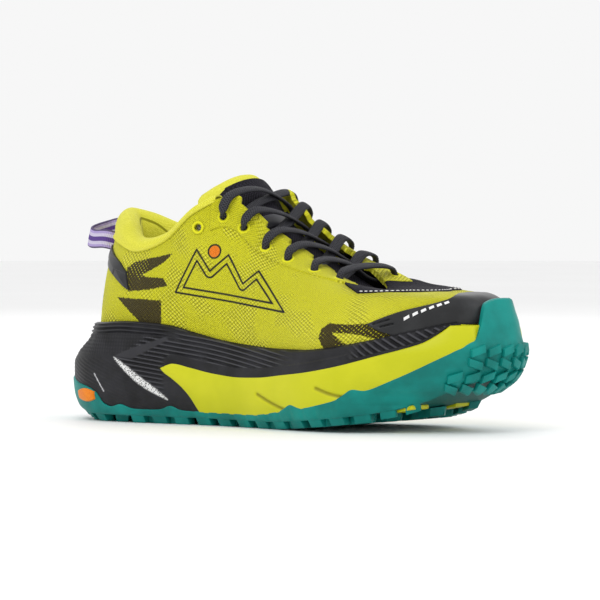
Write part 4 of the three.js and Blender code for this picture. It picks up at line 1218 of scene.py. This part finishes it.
def toe_cap():
    """The film that wraps the toe, low at its sides and high over the toes."""
    u = down(0, 1, 46)
    a = over(-1, 1, 420)
    reach = a * CAP_BACK(u)
    k = TOE + reach
    rim = rim_share(k[0])
    t = lerp(rim - 0.03, np.maximum(CAP_EDGE(np.abs(reach)), rim + 0.01), u)
    ripples = 0.12 * waves(upper_point(k, t), 12, 3)
    slits = np.zeros(k.shape)
    for low, high, at in ((2.95, 3.45, 0.83), (2.95, 3.35, 0.62)):
        along = np.abs(reach)
        across = (u - at - (along - low) * 0.12) / 0.035
        slit = np.exp(-across ** 2) * smooth(low, low + 0.06, along) * smooth(high, high - 0.06, along)
        slits = np.maximum(slits, slit)
    made = patch("toe_cap_film", k, t, 1.0, (30, 200), edge=0.8, relief=ripples - 0.8 * slits)
    return finish(made, black_film, "film_black", "shoe", "toe_cap")


def toe_marks():
    """Six plain slanted dashes printed on the lateral side of the toe cap."""
    parts = Parts()
    u, v = down(0, 1, 8), over(0, 1, 5)
    for i in range(6):
        k = 10.25 + i * 0.24 + 0.05 * v + 0.16 * u
        t = 0.225 + i * 0.023 + 0.02 * u + 0.03 * v
        parts.add(*sheet(on_upper(k, t, 1.32), on_upper(k, t, 0.9)))
    points, faces = parts.joined()
    made = mesh_object("toe_dashes", points, np.array(faces))
    return finish(made, print_white, "film_black", "shoe")


# Stations and shares along the film's two long edges, from its top to its tip.
FILM_BACK = [[0.9, 0.915], [0.75, 0.83], [1.2, 0.76], [1.95, 0.705], [2.45, 0.655], [2.86, 0.6]]
FILM_FRONT = [[1.05, 0.915], [1.75, 0.875], [2.35, 0.835], [2.68, 0.78], [2.78, 0.69], [2.88, 0.6]]


def heel_film(side, name):
    """A kite of film with a ridge down its middle and chevron facets."""
    a, v = down(0, 1, 90), over(0, 1, 30)
    knots = np.linspace(0, 1, len(FILM_BACK))
    back, front = (np.stack([np.interp(a, knots, line) for line in zip(*edge)])
                   for edge in (FILM_BACK, FILM_FRONT))
    k, t = back * (1 - v) + front * v
    across = 1 - np.abs(2 * v - 1)
    steps = np.mod(a * 3 + 0.35 * across, 1)
    relief = (0.8 * across + 0.35 * steps) * np.sin(a * math.pi)
    made = patch(f"heel_film_{name}", side_station(k, side), t, 0.9, (45, 14), relief=relief)
    return finish(made, black_film, "film_black", "shoe", f"heel_overlay_{name}")


def throat_steps(k):
    """How far the tape reaches past the throat's edge at station k: a step behind each crossing."""
    reach = np.full(np.shape(k), 0.6)
    for here, ahead in zip(EYELETS, EYELETS[1:]):
        u = (k - here) / (ahead - here)
        reach += 3.4 * smooth(0.12, 0.2, u) * smooth(0.66, 0.62, u)
    return reach


STAY_REACH = (5.45, 10.55)     # the stations where the tape ends
STAY_DEPTH = 17                # how far it goes down from the throat's edge
STAY_EDGE = 0.86               # the share of its width at the throat's edge; beyond it are the steps


def eyestay(side, name):
    """The tape along the throat, with stepped edge and open eyelets."""
    station = over(*STAY_REACH, 420)
    u = down(0, 1, 60)
    at = side_station(station, side)
    low = below_top(at[0], STAY_DEPTH)[None, :]
    t = lerp(low, 1, np.minimum(u / STAY_EDGE, 1))
    from_end = np.minimum(station - STAY_REACH[0], STAY_REACH[1] - station)
    from_edge = 20 * np.minimum(np.minimum(u, 1 - u), from_end)
    off = 1.15 - rounded(from_edge, 0.7)
    k = np.broadcast_to(at, t.shape)
    base = upper_point(k, t)
    beyond = unit(upper_point(k, np.ones_like(t)) - upper_point(k, np.full_like(t, 0.96)))
    past = (np.clip(u - STAY_EDGE, 0, 1) / (1 - STAY_EDGE) * throat_steps(station))[..., None]
    normal = upper_normal(k, t)
    outer = base + beyond * past + normal * off[..., None]
    root = np.where(u > STAY_EDGE, CLOTH, PATCH_ROOT)[..., None]
    inner = base + beyond * past * 0.98 - normal * root
    holes = near_eyelet(outer) < EYELET_HOLE
    made = shell(f"throat_tape_{name}", outer, inner, values={"cloth": cloth_lengths(outer)}, holes=holes)
    return finish(made, weave_plain, "weave_yellow", "shoe", f"eyestay_{name}")


BINDING = (0.75, 0.55)         # half its width and half its height


def eyelet_rings():
    """A bound ring round each eyelet."""
    turn, small = full_turn(28)[:, None, None], full_turn(10)[None, :, None]
    at = np.arange(280).reshape(28, 10)
    after = np.roll(at, -1, axis=0)
    faces = np.stack([at, after, np.roll(after, -1, axis=1), np.roll(at, -1, axis=1)], axis=-1)
    parts = Parts()
    for centre, normal, inward in ALL_EYELETS:
        radial = np.cos(turn) * inward + np.sin(turn) * np.cross(normal, inward)
        radius = EYELET_HOLE + BINDING[0] + BINDING[0] * np.cos(small)
        height = 0.75 + BINDING[1] * np.sin(small)
        parts.add(centre + radial * radius + normal * height, faces.reshape(-1, 4).tolist())
    points, faces = parts.joined()
    made = mesh_object("eyelet_bindings", points, np.array(faces), {"cloth": np.zeros_like(points)})
    return finish(made, weave_plain, "weave_yellow", "shoe")


VAMP_LOW = profile([[0, 0.76], [0.72, 0.765], [1.64, 0.68], [2.32, 0.632], [3, 0.612]])


def vamp_panel():
    """The mesh at the foot of the throat."""
    u = down(0, 1, 40)
    reach = over(-3.05, 3.05, 240)
    k = TOE + reach + 0 * u
    t = lerp(VAMP_LOW(np.abs(reach)), 1.0, u)
    made = patch("vamp_mesh", k, t, 0.7, (28, 90), relief=0.25 * waves(upper_point(k, t), 16, 8))
    return finish(made, open_mesh, "mesh_black", "shoe", "vamp_panel")


STITCH = (2.0, 1.1, 0.35)      # length, gap and radius


def vamp_stitches():
    """A row of thread stitches along the panel's lower edge."""
    long, gap, radius = STITCH
    reach = np.linspace(-2.95, 2.95, 200)
    line = on_upper(TOE + reach, VAMP_LOW(np.abs(reach)) + 0.012, np.ones(200))
    length = arc(line, 0)
    u = np.linspace(0, 1, 6)
    turn = full_turn(6)[None, :, None]
    fat = radius * np.sqrt(np.clip(1 - (2 * u - 1) ** 2, 0.05, 1))[:, None, None]
    parts = Parts()
    for start in np.arange(0.5, length[-1] - long, long + gap):
        centres = at_lengths(start + u * long, length, line)
        along = unit(centres[-1] - centres[0])
        side = unit(np.cross(along, [0.3, 0.2, 0.93]))
        rings = centres[:, None] + fat * (np.cos(turn) * side + np.sin(turn) * np.cross(side, along))
        parts.add(rings, grid_faces(6, 6, wrap=True).tolist())
    points, faces = parts.joined()
    made = mesh_object("vamp_stitches", points, np.array(faces))
    return finish(made, print_white, "weave_yellow", "shoe")


# ---- collar: a padded lining that rolls over the top edge and goes down inside ----

GAP = 0.35
COUNTER = 1.2
LINING = 1.0
LINING_FACE = CLOTH + GAP + 0.25 + COUNTER + GAP + 0.25 + LINING
SOCK_LOW = FEATHER_LIFT + 1.4 + GAP
COLLAR_REACH = 5.55
ROLL_HEIGHT = profile([[0, 13], [1, 13], [2, 11.5], [3, 6.5], [4, 3.6], [5, 2.6], [5.6, 2.2]])
ROLL_DEPTH = profile([[0, 15], [1, 15], [2, 15], [3, 13], [4, 9.5], [5, 7.5], [5.6, 6.5]])
MOUTH = (60, 0, 110)           # a place in the shoe's opening, which tells the lining's inside
ROLL = [[0.02, 0.06], [0.06, 0.5], [0.22, 0.86], [0.45, 1], [0.72, 0.88], [0.93, 0.5]]


def lining_path(k):
    """Control points of the lining's face at station k: over the top edge, then down inside."""
    side = abs(k)
    depth, height = float(ROLL_DEPTH(side)), float(ROLL_HEIGHT(side))
    top, n = top_edge(k), outward(k)
    roll = [top - n * along * depth + [0, 0, GAP + up * height] for along, up in ROLL]
    foot = float(height_share(k, bed_z(feather_point(k)[0]) + SOCK_LOW))
    inside = [[0.96, depth], [0.86, depth * 0.86], [0.72, lerp(LINING_FACE, depth, 0.35)],
              [0.55, LINING_FACE], [0.25, LINING_FACE], [foot, LINING_FACE]]
    inside = [on_upper(k, max(t, foot), -max(deep, LINING_FACE)) for t, deep in inside]
    return [on_upper(k, 0.985, 0.5), *roll, *inside]


def collar():
    """The padded collar's face: full over the foam, drawn in at its seam and at the quilting line."""
    stations = np.linspace(-COLLAR_REACH, COLLAR_REACH, 300)
    outer = np.stack([evenly(lining_path(k), 90) for k in stations])
    run = arc(outer, 1)
    normal = unit(np.cross(np.gradient(outer, axis=0), np.gradient(outer, axis=1)))
    normal *= np.sign(((outer[:, 20] - MOUTH) * normal[:, 20]).sum(axis=-1).mean()) or 1
    side = np.abs(stations)[:, None]
    quilt = 27 + 8 * smooth(3, 5, side)
    puff = 0.7 * np.sin(np.clip(run / quilt, 0, 1) * math.pi) ** 0.7
    line = np.exp(-((run - quilt) / 1.3) ** 2) * smooth(70, 60, run)
    wrinkle = 0.28 * waves(outer, 17, 21) + 0.15 * waves(outer, 7, 22) * smooth(2.5, 4.5, side)
    fade = smooth(0, 3, run) * smooth(0, 0.25, COLLAR_REACH - side)
    face = outer + normal * ((puff + wrinkle - 0.9 * line) * fade)[..., None]
    back = outer - normal * 1.0
    values = {"cloth": vec(arc(outer, 0), run, 0), "seam": 1.2 - np.abs(run - quilt) * 1.5}
    made = shell("collar_padding", face, back, values=values)
    finish(made, lining_knit, "lining_yellow", "shoe", "collar_lining")
    return made


# ---- tongue ----

TONGUE_LINE = [[222, 75.5], [205, 77.5], [185, 86], [165, 96.5], [145, 109], [132, 121], [124, 131],
               [116, 139.5], [108, 147]]
TONGUE_FOLD = 0.83
TONGUE_HALF = profile([[0, 13], [0.15, 17], [0.5, 21], [0.8, 22.5], [0.9, 25], [1, 24]])
TONGUE_DROP = profile([[0, 1.5], [0.3, 3.4], [0.6, 5.6], [0.8, 8], [1, 12]])
TONGUE_LEAN = profile([[0, 0], [0.5, 1.5], [0.8, 2.5], [1, 6]])
TONGUE_FINE = curve([[x, 0, z] for x, z in TONGUE_LINE], 40, 0)
TONGUE_RUN = arc(TONGUE_FINE, 0)
TONGUE_LENGTH = TONGUE_RUN[-1]


def on_tongue(a, b, off):
    """a runs from the vamp to the top, b from the lateral to the medial edge, off is below the face."""
    a, b, off = np.broadcast_arrays(*(np.asarray(v, float) for v in (a, b, off)))
    at = np.clip(a, 0, 1) * TONGUE_LENGTH
    here, ahead, behind = (at_lengths(at + step, TONGUE_RUN, TONGUE_FINE) for step in (0, 1, -1))
    way = unit(ahead - behind)
    drop = TONGUE_DROP(a) * b * b - TONGUE_LEAN(a) * b + off
    past = np.maximum(a - 1, 0) * TONGUE_LENGTH
    dx, dz = way[..., 0], way[..., 2]
    return vec(here[..., 0] - dz * drop + dx * past, TONGUE_HALF(a) * b, here[..., 2] + dx * drop + dz * past)


FOLD_START = to_frame(on_tongue(TONGUE_FOLD - 0.05, 0, 5))
FOLD_END = to_frame(on_tongue(TONGUE_FOLD + 0.06, 0, 5))
MESH_TOP = 0.955               # the share of the tongue's length where its black mesh ends


def tongue_face():
    """The black mesh of the tongue, in one piece over the fold."""
    a = down(0, MESH_TOP, 190)
    b = over(-1, 1, 90)
    top = smooth(0.86, MESH_TOP, a)
    wide = lerp(0.97, 0.80, top) * (1 - 0.25 * smooth(0.93, MESH_TOP, a) * np.abs(b) ** 3)
    quilt = 0.25 * np.cos(a * TONGUE_LENGTH * 2 * math.pi / 9) * smooth(1, 0.8, np.abs(b))
    edge = rounded((1 - np.abs(b)) * 20, 1.0) + rounded((MESH_TOP - a) * TONGUE_LENGTH, 1.0)
    off = -0.35 + edge * 0.9 - 0.2 * quilt - 0.9 * top
    face = on_tongue(a, b * wide, off)
    back = on_tongue(a, b * wide, off + 1.2 - edge * 0.5)
    made = shell("tongue_mesh", face, back, values={"cloth": cloth_lengths(face)})
    finish(made, open_mesh, "mesh_black", "shoe", "tongue_face", "tongue_top_face", rides=False)
    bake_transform(made)
    return made


def tongue_padding():
    """The padded body of the tongue, rolled over its top edge and sides."""
    a = down(0, 1.0, 180)
    turn = full_turn(120)[None, :] - math.pi
    rise = smooth(0.84, 0.97, a)
    thick = lerp(5.6, 8.5, rise)
    b, across = signed_power(np.cos(turn), 0.55), signed_power(np.sin(turn), 0.8)
    end = np.sqrt(np.clip(1 - (np.clip(a - 0.965, 0, 1) / 0.036) ** 2, 0.02, 1))
    middle = 0.95 + thick / 2 - 1.1 * rise
    off = middle + across * thick / 2 * end + 0.25 * waves(on_tongue(a, b, middle), 14, 31)
    off = np.where(across < 0, np.maximum(off, lerp(0.75, -1.5, rise)), off)
    rings = on_tongue(a, b * lerp(1.0, 1.02, rise) * lerp(0.82, 1, end), off)
    made = closed_tube("tongue_padding", rings, cloth_lengths(rings), seam=-5.0)
    finish(made, lining_knit, "lining_yellow", "shoe", "tongue_foam", "tongue_lining", "tongue_top_pad",
           rides=False)
    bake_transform(made)
    return made


KEEPER_ALONG = (0.685, 0.75)   # shares of the tongue's length
KEEPER_HALF = 0.55             # share of its half width


def keeper():
    """The glossy strap on the tongue that the lace runs under."""
    a = down(*KEEPER_ALONG, 24)
    b = over(-KEEPER_HALF, KEEPER_HALF, 60)
    edge = rounded(np.minimum(a - KEEPER_ALONG[0], KEEPER_ALONG[1] - a) * 140, 0.8)
    edge = edge + rounded((KEEPER_HALF - np.abs(b)) * 22, 0.8)
    arch = 0.5 * np.cos(b / KEEPER_HALF * math.pi / 2)
    face = on_tongue(a, b, -1.6 - arch + edge * 0.8)
    made = shell("lace_strap", face, on_tongue(a, b, -0.3))
    return finish(made, gloss_film, "film_black", "shoe", "lace_keeper")


# ---- lace: one flat oval braid, through every eyelet, its ends tucked inside ----

LACE = 3.6
FILM_GAP = 0.8
FILM = 0.7
OVER = FILM_GAP + FILM + GAP + LACE / 2 + 0.2
UNDER = CLOTH + GAP + LACE / 2 + 0.5
CROSSING_LIFT = LACE / 2 + 0.3
TONGUE_LIFTS = [0, 5.2, 2, 1.2, 1.2, 1.2]
LACE_TAIL = [(0.8, 6.2), (0.72, 7), (0.62, 7), (0.52, 7)]
LACE_HALF = (3.2, 1.05)        # half its width and half its thickness


def crossing(index, side, lift):
    """From an eyelet on one side up to the next eyelet on the other side."""
    centre, normal, inward = eyelet(EYELETS[index], side)
    to_centre, to_normal, to_inward = eyelet(EYELETS[index - 1], -side)
    step = EYELETS[index - 1] - EYELETS[index]
    leave = side_station(EYELETS[index] + step * 0.12, side)
    arrive = side_station(EYELETS[index - 1] - step * 0.1, -side)
    edge_in = top_edge(leave) - upper_normal(leave, 1) * UNDER + [0, -side * 2, 0]
    edge_out = top_edge(arrive) + upper_normal(arrive, 1) * (OVER + 0.6) + [0, side * 1.5, 0]
    middle = (edge_in + edge_out) / 2 + [0, 0, lift]
    return [centre - normal * UNDER + inward * 2.2, edge_in, middle, edge_out,
            to_centre + to_normal * OVER + to_inward * 2.2, to_centre - to_normal * CLOTH / 2]


def lace_half(side):
    points = []
    at = side
    for index in range(len(EYELETS) - 1, 0, -1):
        points += crossing(index, at, at * CROSSING_LIFT + TONGUE_LIFTS[index])
        at = -at
    centre, normal, _ = eyelet(EYELETS[0], at)
    points.append(centre - normal * (UNDER + 0.6))
    station = side_station(EYELETS[0] + 0.25, at)
    return points + [on_upper(station, t, -deep) for t, deep in LACE_TAIL]


def lace_route():
    low = []
    for side in (-1, 1):
        centre, normal, inward = eyelet(EYELETS[-1], side)
        low.append([centre + normal * OVER + inward * 2.2, centre - normal * CLOTH / 2])
    bar = (low[0][0] + low[1][0]) / 2 + [0, 0, 3.2]
    return [*lace_half(-1)[::-1], low[0][1], low[0][0], bar, low[1][0], low[1][1], *lace_half(1)]


def lace():
    path = evenly(lace_route(), 2600)
    length = arc(path, 0)[:, None]
    along = unit(np.gradient(path, axis=0))

    def upright(face):
        return unit(face - along * (face * along).sum(axis=-1, keepdims=True))
    face = upright(unit(vec(0.42, path[:, 1] * 0.035, 1)))
    for _ in range(60):
        face[1:-1] = (face[:-2] + face[1:-1] * 2 + face[2:]) / 4
        face = upright(face)
    turn = full_turn(24)[None, :]
    rib = 1 + 0.045 * np.sin(length * 2 * math.pi / 1.35)
    narrow = lerp(0.72, 1, smooth(1.5, 5.5, near_eyelet(path)))[:, None]
    wide = signed_power(np.cos(turn), 0.8) * LACE_HALF[0] * rib * narrow
    thick = np.sin(turn) * LACE_HALF[1] * rib / narrow ** 0.6
    across = np.cross(face, along)
    rings = path[:, None] + across[:, None] * wide[..., None] + face[:, None] * thick[..., None]
    made = closed_tube("lace_braided", rings, vec(length, turn * 2.0, 0))
    return finish(made, lace_braid, "lace_black", "shoe", "lace")


# ---- pull loop ----

LOOP_BOW = [[3, -11.5, 107.5], [-3, -7.5, 109], [-5.5, 0, 111], [-3, 7.5, 113], [3, 11.5, 114.5]]
LOOP_ENDS = [[0.62, 0.93], [-0.62, 0.985]]
LOOP_AXIS = unit(np.array([0.26, 0, 0.97]))
WEBBING = (11.5, 1.6)


def pull_loop():
    """Flat webbing that goes into the heel seam at both ends."""
    half = WEBBING[0] / 2
    first, last = ([on_upper(k, t, np.array(d)) for d in (-1.5, GAP / 2 + half)] for k, t in LOOP_ENDS)
    path = evenly([*first, *LOOP_BOW, last[1], last[0]], 150)
    length = arc(path, 0)
    along = unit(np.gradient(path, axis=0))
    through = unit(np.cross(along, LOOP_AXIS))
    w = over(-1, 1, 31)
    cup = 0.35 * w ** 2 + 0.12 * np.sin(length * 2 * math.pi / 17)[:, None] * w
    thick = WEBBING[1] / 2 * (1 - rounded((1 - np.abs(w)) * half, 0.7) / 0.9)
    middle = path[:, None] + LOOP_AXIS * (w * half)[..., None]
    outer = middle + through[:, None] * (cup + thick)[..., None]
    inner = middle + through[:, None] * (cup - thick)[..., None]
    made = shell("pull_strap", outer, inner, values={"cloth": vec(length[:, None], w * half, 0)})
    finish(made, pull_webbing, "webbing_lilac", "pull_loop", "pull_loop", rides=False)
    heel = to_frame(path.max(axis=0))
    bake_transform(made)
    return made


# ---- pieces that keep their CAD shape: what lies under the foot and inside the walls ----

def dress_inside():
    board = plain_paint("pressed_board", colour(206, 200, 186), colour(230, 226, 214), 500)
    foam = plain_paint("open_foam", colour(214, 212, 190), colour(236, 234, 218), 700, 0.9, 0.3)
    knit = plain_paint("sock_knit", colour(30, 30, 34), colour(62, 62, 70), 1300, 0.9, 0.25)
    for material, nodes in ((board, ("strobel_board", "toe_puff", "heel_counter")),
                            (foam, ("sockliner", "collar_foam")), (knit, ("sockliner_cover",)),
                            (open_mesh, ("tongue_gusset_lateral", "tongue_gusset_medial")),
                            (gloss_film, ("aglet_lateral", "aglet_medial"))):
        for node in nodes:
            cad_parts[node].data.materials.clear()
            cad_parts[node].data.materials.append(material)


# ---- camera, floor and lights ----

CAMERA_AZIMUTH, CAMERA_HEIGHT = math.radians(38), math.radians(1.5)
CAMERA_DISTANCE = 2.2
CAMERA_AIM = (152, 0, 72.7)
CAMERA_LENS = 227.3


def aim(thing, at):
    thing.rotation_euler = (Vector(at) - thing.location).to_track_quat("-Z", "Y").to_euler()


def camera():
    data = bpy.data.cameras.new("camera")
    data.lens, data.sensor_width, data.clip_end = CAMERA_LENS, 36, 50
    made = new_object("camera", data)
    level = math.cos(CAMERA_HEIGHT)
    back = vec(math.sin(CAMERA_AZIMUTH) * level, -math.cos(CAMERA_AZIMUTH) * level, math.sin(CAMERA_HEIGHT))
    made.location = to_frame(CAMERA_AIM) + back * CAMERA_DISTANCE
    aim(made, to_frame(CAMERA_AIM))
    bpy.context.scene.camera = made


# Where each light stands in metres, and its power in watts.
LIGHTS = {"key": ((0.5, -1.3, 1.5), 12), "fill": ((1.6, 0.4, 0.9), 3), "back": ((-1.2, 1.2, 1.2), 5)}
LIGHT_SIZE = 1.2
LIGHT_AIM = (0, 0, 0.06)


def light(name, place, power):
    data = bpy.data.lights.new(name, "AREA")
    data.shape, data.size, data.energy = "DISK", LIGHT_SIZE, power
    made = new_object(name, data)
    made.location = place
    aim(made, LIGHT_AIM)


def studio():
    bpy.context.scene.view_settings.view_transform = "Standard"
    world = bpy.data.worlds.new("studio")
    bpy.context.scene.world = world
    world.use_nodes = True
    sky = world.node_tree.nodes["Background"].inputs
    sky["Color"].default_value = (1, 1, 1, 1)
    sky["Strength"].default_value = 0.93
    bpy.ops.mesh.primitive_circle_add(vertices=96, radius=6, fill_type="NGON")
    floor = bpy.context.object
    floor.name = "studio_floor"
    paint = Paint("floor_white", 0.7)
    tone = paint.step(paint.noise(3, 2), 0.2, 0.8)
    paint.set("Base Color", paint.mix(tone, (0.93, 0.93, 0.93, 1), (0.95, 0.95, 0.95, 1)))
    floor.data.materials.append(paint.material)
    for name, (place, power) in LIGHTS.items():
        light(name, place, power)


camera()
outsole()
foam_windows()
heel_badge()
cradle()
yellow_layer()
woven_upper()
toe_cap()
toe_marks()
for side, name in ((-1, "lateral"), (1, "medial")):
    heel_film(side, name)
    eyestay(side, name)
eyelet_rings()
vamp_panel()
vamp_stitches()
collar()
tongue_face()
tongue_padding()
keeper()
lace()
pull_loop()
dress_inside()
studio()
